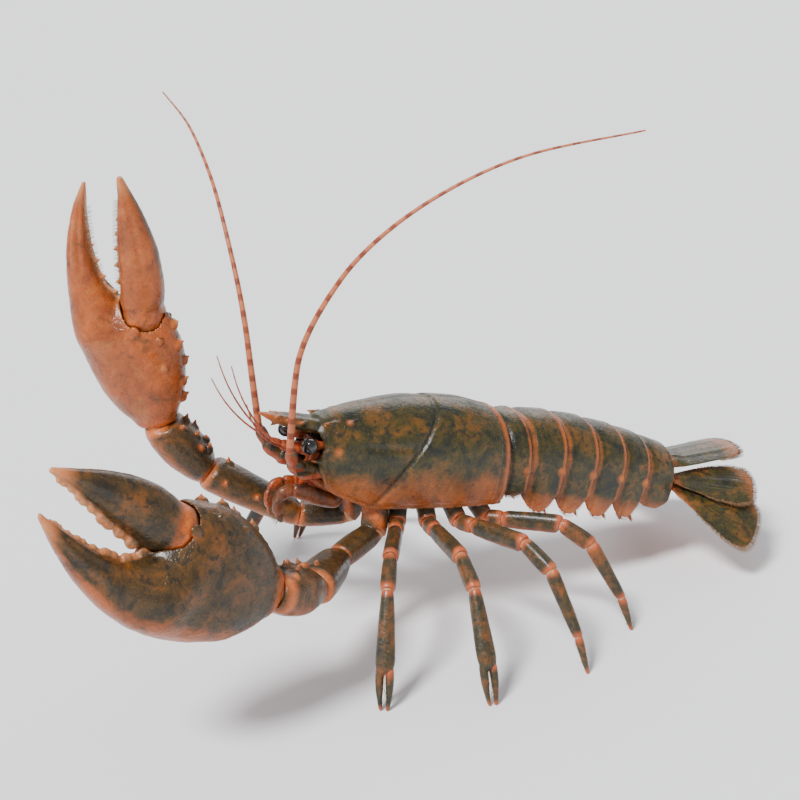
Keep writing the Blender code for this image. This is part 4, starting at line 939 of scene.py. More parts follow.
def blade_fringe(kind, side, name, sizes, place, length):
    """Hair set evenly round the outer part of a blade's edge."""
    starts = 0.62 if kind == "telson" else 0.34
    ts = spaced(starts, ROUND_FROM - 0.01, 30) + end_places(.99, 24)
    stations = [(t, edge) for edge, row in ((1, ts), (-1, ts[::-1])) for t in row]
    outline = [blade_point(side, sizes, edge * blade_width(sizes, t), t, 0.0, length) for t, edge in stations]
    end, before_end = (blade_point(side, sizes, 0, t, 0, length) for t in (1.0, .8))
    axis = (end - before_end).normalized()
    hairs = []
    for (here, ahead), (t, edge) in zip(zip(outline, outline[1:]), stations):
        run = ahead - here
        within = blade_point(side, sizes, 0.8 * edge * blade_width(sizes, t), 0.94 * t, 0.0, length)
        out = (here - within - (here - within).project(run)).normalized()
        size = .0010 + FRINGE * (0.5 + 0.5 * step(starts, .85, t))
        for _ in range(int(run.length / FRINGE_SPACING * FRINGE_ROWS + random.uniform(0, 1))):
            root = (here + run * random.uniform(0, 1) + Vector((0, 0, random.uniform(-.0003, .0002)))
                    - out * .0014)
            hairs.append((place @ root, place.to_3x3() @ (out + axis * 0.55), size))
    strands(f"{name}_setae", hairs, 0.00013, 0.10)


# Head: eyes, feelers, mouth legs

EYE_STALK = ((-.001, .0026), (.0010, .0026), (.0024, .0027), (.0040, .0032), (.0056, .0040), (.0066, .0043),
             (.0070, .0030))
# Stalks: rows of (to the side, way out from the eye sockets, height, half width and maybe half height)
ANTENNULE = ((.0042, -.0050, .0298, .0022), (.0044, .0030, .0306, .0026), (.0048, .0064, .0311, .0018),
             (.0050, .0080, .0314, .0022), (.0052, .0118, .0322, .0020), (.0054, .0135, .0326, .0014),
             (.0056, .0150, .0330, .0018), (.0060, .0186, .0342, .0015))
ANTENNA = ((.0115, -.0060, .0205, .0042), (.0118, .0004, .0212, .0045), (.0122, .0034, .0214, .0051),
           (.0134, .0078, .0222, .0052), (.0142, .0098, .0230, .0041), (.0148, .0108, .0238, .0043),
           (.0160, .0132, .0256, .0046), (.0172, .0152, .0275, .0043), (.0180, .0164, .0292, .0032),
           (.0186, .0171, .0304, .0034), (.0197, .0185, .0328, .0036), (.0206, .0196, .0352, .0032),
           (.0210, .0205, .0366, .0024))
INNER_MOUTH_LEG = ((.0068, -.0190, .0075, .0022, .0030), (.0060, -.0120, .0088, .0024, .0032),
                   (.0050, -.0050, .0122, .0022, .0030), (.0042, -.0005, .0142, .0019, .0025),
                   (.0034, .0018, .0118, .0018, .0022), (.0028, .0016, .0085, .0012, .0015))
CHEEK = ((.0092, -.0040, .0300, .0024, .0024), (.0098, -.0010, .0275, .0030, .0028),
         (.0115, .0012, .0262, .0022, .0020))
MOUTH_LEG = ((.0085, -.0210, .0070, .0032, .0036), (.0084, -.0172, .0010, .0036, .0040),
             (.0081, -.0120, .0018, .0035, .0043), (.0078, -.0070, .0036, .0035, .0048),
             (.0074, -.0010, .0058, .0034, .0049), (.0071, .0050, .0075, .0031, .0045),
             (.0070, .0078, .0079, .0029, .0040), (.0069, .0090, .0080, .0022, .0029),
             (.0068, .0104, .0079, .0028, .0036), (.0067, .0135, .0068, .0030, .0038),
             (.0066, .0152, .0048, .0027, .0034), (.0065, .0160, .0034, .0020, .0026),
             (.0064, .0164, .0018, .0026, .0033), (.0060, .0164, -.0018, .0027, .0034),
             (.0056, .0158, -.0048, .0023, .0029), (.0054, .0155, -.0060, .0017, .0021),
             (.0052, .0149, -.0074, .0020, .0025), (.0048, .0135, -.0100, .0014, .0018),
             (.0044, .0120, -.0118, .0005, .0006))
# The two threads of a small feeler: spread, rise, length and where they start to the side
THREADS = ((.10, .62, .050, -.0006), (.42, .36, .044, .0006))
# Spines of a long feeler's base: place, direction, length and radius
ANTENNA_SPINES = (((.0160, .0070, .0245), (.5, -.8, .3), .0040, .0013),
                  ((.0186, .0130, .0270), (.7, -.6, .3), .0032, .0011),
                  ((.0110, .0080, .0258), (-.1, -.8, .5), .0030, .0011))
# Plates over the mouth: place behind the eye sockets and half sizes
MOUTH_PLATES = ((0, .0042, .0262, (.0088, .0030, .0046)), (0, .0030, .0345, (.0102, .0026, .0030)),
                (0, .0035, .0215, (.0052, .0034, .0030)))


def make_eye(word, side):
    way = Vector((side * 0.66, -0.72, 0.20)).normalized()
    joint = Vector((side * 0.0108, FRONT - GAP, 0.0352))
    rings = [ring(Vector((side * 0.0100, FRONT + .0050, 0.0350)), AHEAD, UP, .0024, .0024, 32)]
    rings += [ring(joint + way * out, way, UP, radius, radius, 32) for out, radius in EYE_STALK]
    stalk = piece(f"eye_stalk_{word}", [loft(rings, TRUNK)], LEG_SHELL, SMALL_VOXEL, 0, 0.0001)
    paint(stalk, 0.8, 0.1)
    rings = []
    for k in range(26):
        angle = math.pi * (0.02 + 0.96 * k / 25)
        radius = .0046 * math.sin(angle) ** 0.8
        rings.append(ring(joint + way * (.0080 - math.cos(angle) * .0044), way, UP, radius, radius, 36))
    piece(f"cornea_{word}", [loft(rings, TRUNK)], CORNEA, nodes=(f"eye_{word}",), slot="eye")


def ringed_feeler(points, radius, tip_radius, pitch):
    """A tapering feeler whose many short rings stand a little proud of each other."""
    length = sum((b - a).length for a, b in zip(points, points[1:]))
    count = int(length / pitch) * 3
    path = through(points, count + 1)
    rings = []
    for k, point in enumerate(path):
        way = path[min(k + 1, count)] - path[max(k - 1, 0)]
        size = radius + (tip_radius - radius) * (k / count) ** 0.8
        size *= (0.90, 1.0, 1.0)[k % 3]
        rings.append(ring(point, way, Vector((1, 0.02, 0.01)), size, size, FEELER_SIDES))
    return loft(rings)


def stalk(side, rows, across=ACROSS, count=28, rounds=40):
    """A jointed stalk of the head, pinched where its rows say, and the path that it follows."""
    path = [Vector((side * x, FRONT - out, z)) for x, out, z, *_ in rows]
    centres = through(path, rounds)
    rings = []
    for k, centre in enumerate(centres):
        way = centres[min(k + 1, rounds - 1)] - centres[max(k - 1, 0)]
        at = (len(rows) - 1) * k / (rounds - 1)
        wide, high = (smooth([(i, row[axis]) for i, row in enumerate(rows)], at) for axis in (3, -1))
        rings.append(ring(centre, way, across, wide, high, count))
    return loft(rings, TRUNK), path


def make_antennule(word, side):
    shapes = [stalk(side, ANTENNULE)[0]]
    start = Vector((side * .0058, FRONT - .0180, .0340))
    turn, at = np.array(TRUNK_TURN), np.array(TRUNK.translation)
    for spread, rise, length, aside in THREADS:
        thread = [start + Vector((side * (spread * length * s + aside), -length * s * (1 - 0.25 * s),
                                  length * (rise * s + 0.35 * s * s))) for s in (0, .15, .35, .6, .8, .99)]
        points, faces = ringed_feeler(thread, .0009, .00032, .0010)
        shapes.append((points @ turn.T + at, faces))
    made = piece(f"small_feelers_{word}", shapes, FEELER_SHELL, nodes=(f"antennule_{word}",),
                 slot="feeler_shell")
    y = surface(made)[0][:, 1]
    paint(made, 0.6, 0.0, 0.45 * (np.sin(y * 1900) > 0.3) * step(.14, .145, -y))


def make_antenna(word, side):
    base, path = stalk(side, ANTENNA, Vector((1, 0.3, 0)), 36, 70)
    shapes = [base]
    way = Vector((side * 0.50, -0.86, 0.06)).normalized()
    root = Vector((side * .0150, FRONT - .0020, .0215))
    scale = []
    for s in spaced(0, 1, 20):
        wide = smooth(((0, .0026), (.35, .0035), (.7, .0028), (1, .0004)), s)
        scale.append(ring(root + way * .0155 * s, way, ACROSS, wide, .0007 + .0003 * (1 - s), 24))
    shapes.append(loft(scale, TRUNK))
    shapes += [spine(TRUNK @ Vector((side * x, FRONT - out, z)), TRUNK_TURN @ Vector((side * a, b, c)),
                     length, radius) for (x, out, z), (a, b, c), length, radius in ANTENNA_SPINES]
    base = piece(f"feeler_base_{word}", shapes, LEG_SHELL, SMALL_VOXEL, 0.0003, 0.00016,
                 (f"antenna_base_{word}",), "feeler_shell")
    joints = near_any(surface(base)[0], [path[4], path[8], path[12]], 0.0045)
    paint(base, np.maximum(0.75 * step(-0.3, 0.5, -normals_of(base)[:, 2]), 0.8 * joints), 0.1 * joints)
    points = [STAND @ Vector(p) for p in FEELERS[word]]
    points[0] = points[0] - (points[1] - points[0]).normalized() * 0.0015
    feeler = piece(f"long_feeler_{word}", [ringed_feeler(points, FEELER_RADIUS, FEELER_TIP_RADIUS, .0011)],
                   FEELER_SHELL, nodes=(f"antenna_{word}_1", f"antenna_{word}_2"), slot="feeler_shell")
    ring_number = np.arange(len(feeler.data.vertices)) // FEELER_SIDES
    band = step(0.1, 0.7, np.sin(math.tau * ring_number / FEELER_BAND_RINGS))
    paint(feeler, 0.7, 0.30 * step(0.3, 0.8, 1 - 2 * band), 0.55 * band)


def make_mouth():
    """What fills the front of the head: the plate over the mouth, the jaws and the small inner mouth legs."""
    shapes = [ball(TRUNK @ Vector((x, FRONT + y, z)), sizes, TRUNK_TURN) for x, y, z, sizes in MOUTH_PLATES]
    for side in SIDES:
        shapes.append(ball(TRUNK @ Vector((side * .0036, FRONT + .0062, .0168)), (.0038, .0050, .0040),
                           TRUNK_TURN))
        shapes += [stalk(side, INNER_MOUTH_LEG, rounds=50)[0], stalk(side, CHEEK, rounds=20)[0]]
    made = piece("mouth_parts", shapes, LEG_SHELL, SMALL_VOXEL, 0.0004, 0.00016)
    p = surface(made)[0]
    jaws = 1 - step(.0190, .0215, p[:, 2])
    paint(made, 0.45 + 0.35 * jaws, 0.30 * jaws * step(-.001, .001, p[:, 1] - FRONT - .0035))


def make_mouth_leg(word, side):
    shape, path = stalk(side, MOUTH_LEG, count=36, rounds=130)
    made = piece(f"mouth_leg_{word}", [shape], LEG_SHELL, SMALL_VOXEL, 0.0005, 0.00018,
                 (f"maxilliped_{word}",), "leg_shell")
    p, n = surface(made)
    joints = near_any(p, [path[7], path[11], path[15]], 0.0030)
    paint(made, np.maximum(0.25 + 0.5 * step(-.1, .7, -side * n[:, 0]), 0.9 * joints), 0.25 * joints)
    hairs = []
    centres = through(path, 150)
    inner = Vector((-side, 0, 0))
    for k in range(20, 146):
        way = (centres[k + 1] - centres[k - 1]).normalized()
        for _ in range(4):
            down = way.cross(ACROSS) * random.uniform(-.9, .7)
            hairs.append((TRUNK @ (centres[k] + inner * .0020 + down * .0028),
                          TRUNK_TURN @ (inner * 0.35 + down + way * 0.5), .0040))
    strands(f"mouth_setae_{word}", hairs, 0.00010)


# Limbs

def scaled(rows, size):
    return tuple((share, wide * size, high * size) for share, wide, high in rows)


# Stiff lengths: (share, half across, half up), where a root's rows are shares of its radius
ARM_ROOT_RADIUS, LEG_ROOT_RADIUS, LEG_GIRTH = 0.0070, 0.0055, 1.14
ARM_COXA = ((0, .9, .9), (.35, 1.05, 1.05), (.8, 1.1, 1.1), (1, 1, 1))
ARM_HIP = ((0, .85, .8), (.15, 1.0, .98), (.6, 1.12, 1.05), (.93, 1.08, 1), (1, 1, .93))
MERUS = ((0, .0068, .0063), (.06, .0082, .0072), (.16, .0094, .0082), (.45, .0113, .0094), (.8, .0125, .0103),
         (.92, .0126, .0102), (.97, .0118, .0094), (1, .0098, .0080))
CARPUS = ((0, .0090, .0075), (.07, .0112, .0093), (.2, .0132, .0110), (.55, .0159, .0129),
          (.82, .0150, .0121), (.93, .0136, .0108), (1, .0104, .0082))
PINCER_PALM = scaled(((0, .0027, .0031), (.08, .0032, .0037), (.5, .0042, .0038), (.82, .0047, .0036),
                      (.92, .0042, .0032), (.97, .0034, .0026), (1, .0020, .0016)), LEG_GIRTH)
PINCER_FINGER = ((0, .0018), (.2, .0024), (.45, .0022), (.75, .0015), (.97, TOE_RADIUS), (1, .0004))
TIP_LOOK = (SMALL_VOXEL, 1, 0.0001)
# A walking leg's lengths from its root: name, set back at both joints, rows, and what its piece is made with
LEG_PARTS = (
    ("coxa", (-.004, 0), scaled(((0, .9, .9), (.3, 1, 1), (.7, .95, .95), (.9, .98, .98), (1, .86, .86)),
                                LEG_ROOT_RADIUS), {"swells": 0.0003, "pale": 0.25}),
    ("ischium", (.0002, .0003), scaled(((0, .0036, .0038), (.3, .0042, .0043), (.8, .0040, .0043),
                                        (1, .0035, .0038)), LEG_GIRTH), {"ends": 0.003}),
    ("merus", (0, GAP / 2), scaled(((0, .0033, .0037), (.08, .0038, .0044), (.4, .0039, .0048),
                                    (.85, .0040, .0049), (.95, .0040, .0048), (1, .0033, .0038)), LEG_GIRTH),
     {"node": "upper", "swells": 0.0003}),
    ("carpus", (GAP / 2, .0002), scaled(((0, .0029, .0032), (.1, .0034, .0039), (.7, .0038, .0044),
                                         (.92, .0037, .0043), (1, .0031, .0036)), LEG_GIRTH), {}),
    ("propodus", (.0002, GAP / 2), scaled(((0, .0027, .0032), (.08, .0031, .0038), (.5, .0029, .0034),
                                           (.93, .0024, .0027), (1, .0021, .0024)), LEG_GIRTH),
     {"node": "lower"}),
    ("dactyl", (GAP / 2, 0), ((0, .0020, .0023), (.15, .0022, .0026), (.5, .0018, .0021), (.85, .0012, .0013),
                              (.97, TOE_RADIUS, TOE_RADIUS), (1, .0004, .0004)),
     {"node": "tip", "swells": 0.0001, "ends": 0.003, "look": TIP_LOOK}),
)


def article(start, end, first_way, last_way, profile, across, count=40, rows=44, power=SECTION_POWER,
            lip=0.0012):
    """One stiff length of a limb from (share, half across, half up) rows, hollowed at its far end."""
    wide, high = ([(row[0], row[i]) for row in profile] for i in (1, 2))
    rings = []
    way = (end - start).normalized()
    for s in spaced(0, 1, rows):
        blend = way.lerp(first_way.normalized(), 1 - step(0, .12, s))
        blend = blend.lerp(last_way.normalized(), step(.88, 1, s))
        rings.append(ring(start.lerp(end, s), blend, across, smooth(wide, s), smooth(high, s), count, power))
    if lip:
        last = rings[-1]
        middle = sum(last, Vector()) / count
        for share, back in ((.86, .1), (.74, 1.0), (.3, 1.3)):
            rings.append([middle + (p - middle) * share - last_way.normalized() * lip * back for p in last])
    return loft(rings, STAND)


def joint_skin(name, places):
    """Soft skin bulging between two stiff lengths, at (centre, radius) places."""
    shapes = [ball(STAND @ centre, (radius, radius, radius)) for centre, radius in places]
    piece(name, shapes, JOINT_SKIN)


def limb_paint(obj, start, end, spines=(), belly=DOWN, ends=0.0026, pale=0.15):
    """Warm where a limb is jointed, on its underside and at its spines' tips."""
    p = points_of(obj) - np.array(MODEL_SHIFT)
    axis = np.array(end - start)
    length = np.linalg.norm(axis)
    along = (p - np.array(start)) @ axis / length
    joints = np.maximum(bell(along, ends), bell(length - along, ends))
    below = 0.45 * step(0.0, 0.8, normals_of(obj) @ np.array(belly.normalized()))
    paint(obj, np.maximum.reduce([0.95 * joints, 0.9 * near_any(p, spines, 0.0042), below]),
          pale * joints + 0.3 * near_any(p, spines, 0.0018))


def claw_frame(arm):
    """X along the claw, Y towards its moving finger and Z across its thickness, from the wrist."""
    along = Vector(arm["points"]).normalized()
    towards = Vector(arm["thumb"])
    towards = (towards - towards.dot(along) * along).normalized()
    turn = Matrix((along, towards, along.cross(towards))).transposed().to_4x4()
    return STAND @ Matrix.Translation(Vector(arm["wrist"]) + along * GAP / 2) @ turn


def hinge_of(sizes):
    shoulder, corner = sizes["palm"][-1]
    return Vector((shoulder, corner - HINGE_DEPTH))


def shoulder_middle(sizes):
    """The middle of the claw's width where the moving finger starts."""
    shoulder, corner = sizes["palm"][-1]
    return (smooth(sizes["outer"], shoulder) + corner) / 2


def swung(sizes, u, v, bend):
    """A place on the moving finger once it is opened by bend about its hinge, as (u, v)."""
    hinge = hinge_of(sizes)
    turned = Matrix.Rotation(bend, 2) @ Vector((u - hinge.x, v - hinge.y))
    return hinge.x + turned.x, hinge.y + turned.y


def furrows(across):
    """How deep the two furrows along a finger's face are at across, from 0 to 1."""
    return bell(across - 0.35, 0.16) + bell(across + 0.40, 0.16)


def claw_ring(sizes, u, low, high, thick, lean, bend, grow, furrow):
    """A section of a claw at u, from margin low to margin high, leaning about the shoulder's middle."""
    centre = shoulder_middle(sizes)
    middle, half = (low + high) / 2, (high - low) / 2 + grow
    points = []
    for across, up in oval(FINGER_SIDES, SECTION_POWER):
        w = (thick + grow) * up
        w -= math.copysign(furrow * furrows(across), w)
        v = middle + half * across
        a, b = swung(sizes, u + lean * (v - centre), v, bend)
        points.append(sizes["length"] * Vector((a, b, w)))
    return points


def claw_bend(sizes, moving=True):
    return math.radians(sizes["open"]) if moving else 0.0


def biting_edge(sizes, place, u, moving, w=0.0):
    """A place on a finger's biting edge at u, and the way out of it in the claw's frame."""
    margin = smooth(sizes["thumb_inner"], u) if moving else gape_margin(sizes, u)
    a, b = swung(sizes, u, margin, claw_bend(sizes, moving))
    return place @ (sizes["length"] * Vector((a, b, w))), Vector((0, -1 if moving else 1, 0))


def half_oval(v, low, high, thick):
    """Half the thickness at v of an oval section that runs from low to high."""
    across = abs(2 * v - low - high) / max(high - low, 1e-6)
    return thick * max(0.0, 1 - across ** SECTION_POWER) ** (1 / SECTION_POWER)


def gape_margin(sizes, u):
    """The fixed finger's inner margin at u, which rises in a hollow curve to the moving finger's root."""
    shoulder = sizes["palm"][-1][0]
    inner = smooth(sizes["inner"], u)
    root = smooth(sizes["thumb_inner"], shoulder) - GAPE_ROOM
    return inner + max(0.0, root - inner) * (1 - step(shoulder + GAPE_FROM, shoulder + GAPE_UNTIL, u))


def propodus_margins(sizes, u):
    """The margins of the palm and fixed finger at u, the lower one first."""
    shoulder, corner = sizes["palm"][-1]
    low, high = smooth(sizes["outer"], u), smooth(sizes["palm"], u)
    inner = gape_margin(sizes, u)
    if u > shoulder:
        passed = min(1.0, (u - shoulder) / SHOULDER_ROUNDING)
        high = inner + (corner - inner) * math.sqrt(1 - passed ** 2)
    return low, high


def propodus_half(sizes, u, v):
    """Half the thickness of the palm and fixed finger at (u, v): the palm's bulge fades over the finger."""
    shoulder = sizes["palm"][-1][0]
    low, high = propodus_margins(sizes, u)
    inner, thick = gape_margin(sizes, u), smooth(sizes["thick"], u)
    fading = (u - shoulder + PALM_FADES_FROM) / (SHOULDER_ROUNDING + PALM_FADES_FROM)
    bulge = thick * math.sqrt(1 - min(1.0, max(0.0, fading)) ** 2)
    finger = thick * step(shoulder - 0.24, shoulder - 0.04, u)
    both = half_oval(v, low, high, bulge) ** 5 + half_oval(v, low, inner, finger) ** 5 * (v < inner)
    return both ** 0.2


def propodus_ring(sizes, u):
    """A section of the palm and the fixed finger, leaning more towards the shoulder."""
    shoulder = sizes["palm"][-1][0]
    low, high = propodus_margins(sizes, u)
    lean = SHOULDER_LEAN * ((u / shoulder) ** 2 if u <= shoulder else ((1 - u) / (1 - shoulder)) ** 3)
    flare = 1 + 0.040 * bell(u - 0.012, 0.012) - 0.035 * bell(u - 0.045, 0.02)
    furrow = 0.007 * (step(.64, .72, u) * (1 - step(.88, .96, u)))
    centre = shoulder_middle(sizes)
    middle, half = (low + high) / 2, (high - low) / 2
    points = []
    for across, up in oval(PALM_SIDES, PALM_POWER):
        v = middle + half * across
        w = propodus_half(sizes, u, v) * flare
        w -= furrow * furrows(across)
        v *= flare
        points.append(sizes["length"] * Vector((u + lean * (v - centre), v, math.copysign(w, up))))
    return points


def propodus_shape(sizes, place):
    """The palm and the fixed finger as one smooth form, rounded off beside the moving finger."""
    shoulder = sizes["palm"][-1][0]
    rounding = [shoulder + SHOULDER_ROUNDING * math.sin(math.pi / 2 * s) for s in spaced(0.04, 1, 26)]
    places = spaced(0, shoulder, 50) + rounding + spaced(shoulder + SHOULDER_ROUNDING + .006, 1, 66)
    return loft([propodus_ring(sizes, u) for u in places], place)


def finger_rings(sizes, places, grow=0.0):
    """Sections of the moving finger at the given places, with a root that tapers into its socket."""
    shoulder = sizes["palm"][-1][0]
    rings = []
    for u in places:
        low, high, thick = (smooth(sizes[key], u) for key in ("thumb_inner", "thumb_outer", "finger_thick"))
        past = max(0.0, u - shoulder)
        bend = claw_bend(sizes) * step(0, 0.12, past)
        lean = SHOULDER_LEAN * (1 - past / (1 - shoulder)) ** 6
        taper = 1 - 0.30 * max(0.0, shoulder - u) / SOCKET_DEPTH
        waist = taper * (1 - 0.045 * bell(u - shoulder - .035, 0.012))
        middle, half = (low + high) / 2, (high - low) / 2
        furrow = 0.006 * (step(.62, .70, u) * (1 - step(.88, .95, u)))
        rings.append(claw_ring(sizes, u, middle - half * waist, middle + half * waist, thick * waist,
                               lean, bend, grow, furrow))
    return rings


def finger_shape(sizes, place):
    return loft(finger_rings(sizes, spaced(sizes["palm"][-1][0] - SOCKET_DEPTH, .985, FINGER_RINGS)), place)


def socket_shape(sizes, place):
    """The room that the moving finger's root needs in the palm."""
    shoulder = sizes["palm"][-1][0]
    places = spaced(shoulder - SOCKET_DEPTH * 1.1, shoulder + .12, 26)
    return loft(finger_rings(sizes, places, SOCKET_ROOM), place)


def claw_teeth(sizes, place, moving):
    """Shapes and centres of the biting teeth along a finger's inner margin."""
    turn = place.to_3x3()
    shapes, centres = [], []
    crusher = sizes is CRUSHER
    u = sizes["palm"][-1][0] + (0.085 if moving else 0.075)
    while u < 0.955:
        bulk = 1 - 0.60 * step(.60, .95, u)
        bulk *= ((1.0, 0.62, 0.86, 0.55, 0.95) if crusher else (0.8, 0.7, 1.5, 0.75, 0.7))[len(centres) % 5]
        centre, outward = biting_edge(sizes, place, u, moving)
        if crusher:
            size = sizes["length"] * 0.026 * bulk
            shapes.append(ball(centre + turn @ outward * size * .25, (size * 1.15, size, size * 1.05),
                               turn @ facing(outward)))
            u += 0.026 * (0.35 + bulk)
        else:
            size = sizes["length"] * 0.0125 * bulk * (1 - .4 * step(.7, .95, u))
            shapes.append(spine(centre - turn @ outward * .0006, turn @ outward, size * 1.8, size, .0003))
            u += 0.0085 * (0.7 + bulk)
        centres.append(centre + turn @ outward * size)
    return shapes, centres


def make_claw(word, arm):
    sizes, place = arm["claw"], claw_frame(arm)
    length, turn = sizes["length"], place.to_3x3()
    across, forward = turn @ Vector((0, 1, 0)), turn @ ACROSS
    shapes = [carved(propodus_shape(sizes, place), socket_shape(sizes, place))]
    shoulder, corner = sizes["palm"][-1]
    u, v = shoulder - .040, corner - .11
    shapes += [ball(place @ (length * Vector((u, v, sign * (propodus_half(sizes, u, v) - .002)))),
                    (.0034, .0034, .0016), turn) for sign in SIDES]
    tips = []
    for k in range(5):
        u = 0.09 + 0.075 * k
        base = place @ (length * Vector((u, smooth(sizes["palm"], u) - 0.006, 0.012 * (-1) ** k)))
        rise = .0062 - .0004 * k
        way = (across + forward * 0.35).normalized()
        shapes += [spine(base, way, rise, .0029), ball(base, (.0036, .0036, .0030), facing(way))]
        tips.append(base + way * rise * 0.85)
    for u, v, w in ((.20, .13, .085), (.30, .15, .10), (.40, .16, .10), (.25, .16, -.07), (.36, .17, -.09)):
        v *= smooth(sizes["palm"], u) / .21
        w = math.copysign(propodus_half(sizes, u, v) + .001, w)
        shapes.append(ball(place @ (length * Vector((u, v, w))), (.0022, .0022, .0016), turn))
    for part, moving, own, swells in (("palm", False, shapes, 0.0007),
                                      ("moving_finger", True, [finger_shape(sizes, place)], 0.0006)):
        teeth, bites = claw_teeth(sizes, place, moving)
        made = piece(f"{word}_{part}", own + teeth, CLAW_SHELL, SHELL_VOXEL, swells, 0.00020,
                     (f"{word}_claw_{part.split('_')[-1]}",), "claw_shell")
        p, n = surface(made, place)
        p = p / length
        world = points_of(made)
        below = 0.62 * step(-0.25, 0.55, n[:, 2] * arm["side"])
        margin = 0.55 * step(0.35, 0.9, -n[:, 1]) * (not moving)
        bite = near_any(world, bites, 0.0055 if sizes is CRUSHER else 0.0040)
        tip = step(0.90, 0.985, p[:, 0])
        spikes = near_any(world, tips, 0.0045) * (not moving)
        root = bell(p[:, 0] - (shoulder - .01 if moving else 0.0), 0.035)
        warm = np.maximum.reduce([below, margin, tip, 0.9 * spikes, 0.9 * root, bite])
        paint(made, warm, np.maximum(0.85 * bite, 0.45 * tip + 0.25 * spikes))
    if sizes is CUTTER:
        make_claw_hair(word, sizes, place)
    near, far = (smooth(sizes[key], shoulder) for key in ("thumb_inner", "thumb_outer"))
    soft = place @ (length * Vector((shoulder - .012, (near + far) / 2, 0)))
    wide, high = 0.33 * (far - near), 0.74 * smooth(sizes["finger_thick"], shoulder)
    piece(f"{word}_finger_skin", [ball(soft, (.0050, length * wide, length * high), turn)], JOINT_SKIN)


def make_claw_hair(word, sizes, place):
    """The dense short hair along the cutting edges of the slimmer claw."""
    hairs = []
    turn = place.to_3x3()
    for moving in (False, True):
        for u in spaced(0.54, 0.90, 150):
            for lean in SIDES:
                root, outward = biting_edge(sizes, place, u, moving, lean * 0.016)
                way = outward + Vector((random.uniform(-.2, .5), 0, lean * random.uniform(.1, .5)))
                hairs.append((root - turn @ outward * .0006, turn @ way, .0038))
    strands(f"{word}_claw_setae", hairs, 0.00010)


def make_arm(word, arm):
    side = arm["side"]
    root = (TRUNK @ Vector((side * ARM_ROOT.x, ARM_ROOT.y, -GAP))) - MODEL_SHIFT
    coxa, hip, elbow, wrist = (Vector(arm[k]) for k in ("coxa", "hip", "elbow", "wrist"))
    points = Vector(arm["points"]).normalized()
    across = (hip - coxa).cross(UP)
    chain = (root, coxa, hip, elbow, wrist)
    coxa_way, hip_way, elbow_way = (bisector(*chain[k:k + 3]) for k in range(3))
    shapes = [article(root - TRUNK_DOWN * .004, coxa - coxa_way * .0006, TRUNK_DOWN, coxa_way,
                      scaled(ARM_COXA, ARM_ROOT_RADIUS), across),
              article(coxa + coxa_way * .0006, hip - hip_way * GAP / 2, coxa_way, hip_way,
                      scaled(ARM_HIP, ARM_ROOT_RADIUS), across)]
    upper = piece(f"{word}_arm_root", shapes, CLAW_SHELL, LIMB_VOXEL, 0.0004, 0.00016, (f"{word}_claw_hip",),
                  "claw_shell")
    limb_paint(upper, coxa, hip, pale=0.1)

    way = (elbow - hip).normalized()
    lift = across.cross(way).normalized()
    lift = lift if lift.z > 0 else -lift
    inward = Vector((-side, 0, 0))
    spines = [(hip.lerp(elbow, share) + out * depth, out + way * .6, length, radius)
              for share, out, depth, length, radius in (
                  (.84, lift, .0092, .0055, .0025), (.86, inward, .0105, .0055, .0025),
                  (.52, inward, .0098, .0045, .0022), (.30, inward, .0086, .0032, .0018))]
    make_spiny(word, "merus", hip, elbow, hip_way, elbow_way, MERUS, across, spines, lift)

    way = (wrist - elbow).normalized()
    lift = across.cross(way).normalized()
    lift = lift if lift.dot(Vector((0, -.6, 1))) > 0 else -lift
    spines = []
    for share, tilt, size in ((.30, .5, 1), (.55, .5, 1), (.55, -.35, 1), (.78, .1, 1), (.80, .95, 1),
                              (.36, -.1, .6), (.70, -.7, .6), (.42, 1.0, .6)):
        out = (lift * math.cos(tilt) + inward * math.sin(tilt)).normalized()
        spines.append((elbow.lerp(wrist, share) + out * .0118, out + way * .55, .0058 * size, .0027))
    make_spiny(word, "carpus", elbow, wrist, elbow_way, points, CARPUS, across, spines, lift)
    joint_skin(f"{word}_arm_skin", [(coxa, ARM_ROOT_RADIUS * .9), (hip, ARM_ROOT_RADIUS * .84),
                                    (elbow, .0084), (wrist, .0086)])


def make_spiny(word, part, start, end, first_way, last_way, profile, across, spines, lift):
    """A stiff length of an arm with its spines, between the flats that face its neighbours."""
    shapes = [article(start + first_way * GAP / 2, end - last_way * GAP / 2, first_way, last_way,
                      profile, across, 56, 56, 2.3)]
    tips = []
    for base, way, length, radius in spines:
        shapes += [spine(STAND @ base, way, length, radius),
                   ball(STAND @ base, (radius * 1.3, radius * 1.3, radius), facing(way))]
        tips.append(base + Vector(way).normalized() * length * 0.85)
    made = piece(f"{word}_arm_{part}", shapes, CLAW_SHELL, LIMB_VOXEL, 0.0005, 0.00018,
                 (f"{word}_claw_{part}",), "claw_shell")
    limb_paint(made, start, end, tips, -lift)


def leg_joints(side, sizes):
    """Every joint of a walking leg in the standing frame, from its root, with its plane's normal."""
    x, y = sizes["root"]
    root = (TRUNK @ Vector((side * x, y, -GAP))) - MODEL_SHIFT
    heading, reach = math.radians(sizes["heading"]), sizes["reach"]
    out = Vector((side * math.cos(heading), math.sin(heading), 0))
    joints = [root]
    for distance, z in ((LEG_COXA_OUT, root.z - LEG_COXA_DROP),
                        (reach * LEG_KNEE_SHARE, root.z - LEG_KNEE_DROP),
                        (reach * LEG_SHIN_SHARE, root.z - LEG_SHIN_DROP),
                        (reach * LEG_ANKLE_SHARE, LEG_ANKLE_Z), (reach, 0.0)):
        point = root + out * distance
        joints.append(Vector((point.x, point.y, z)))
    return joints, Vector((-out.y, out.x, 0)) * side


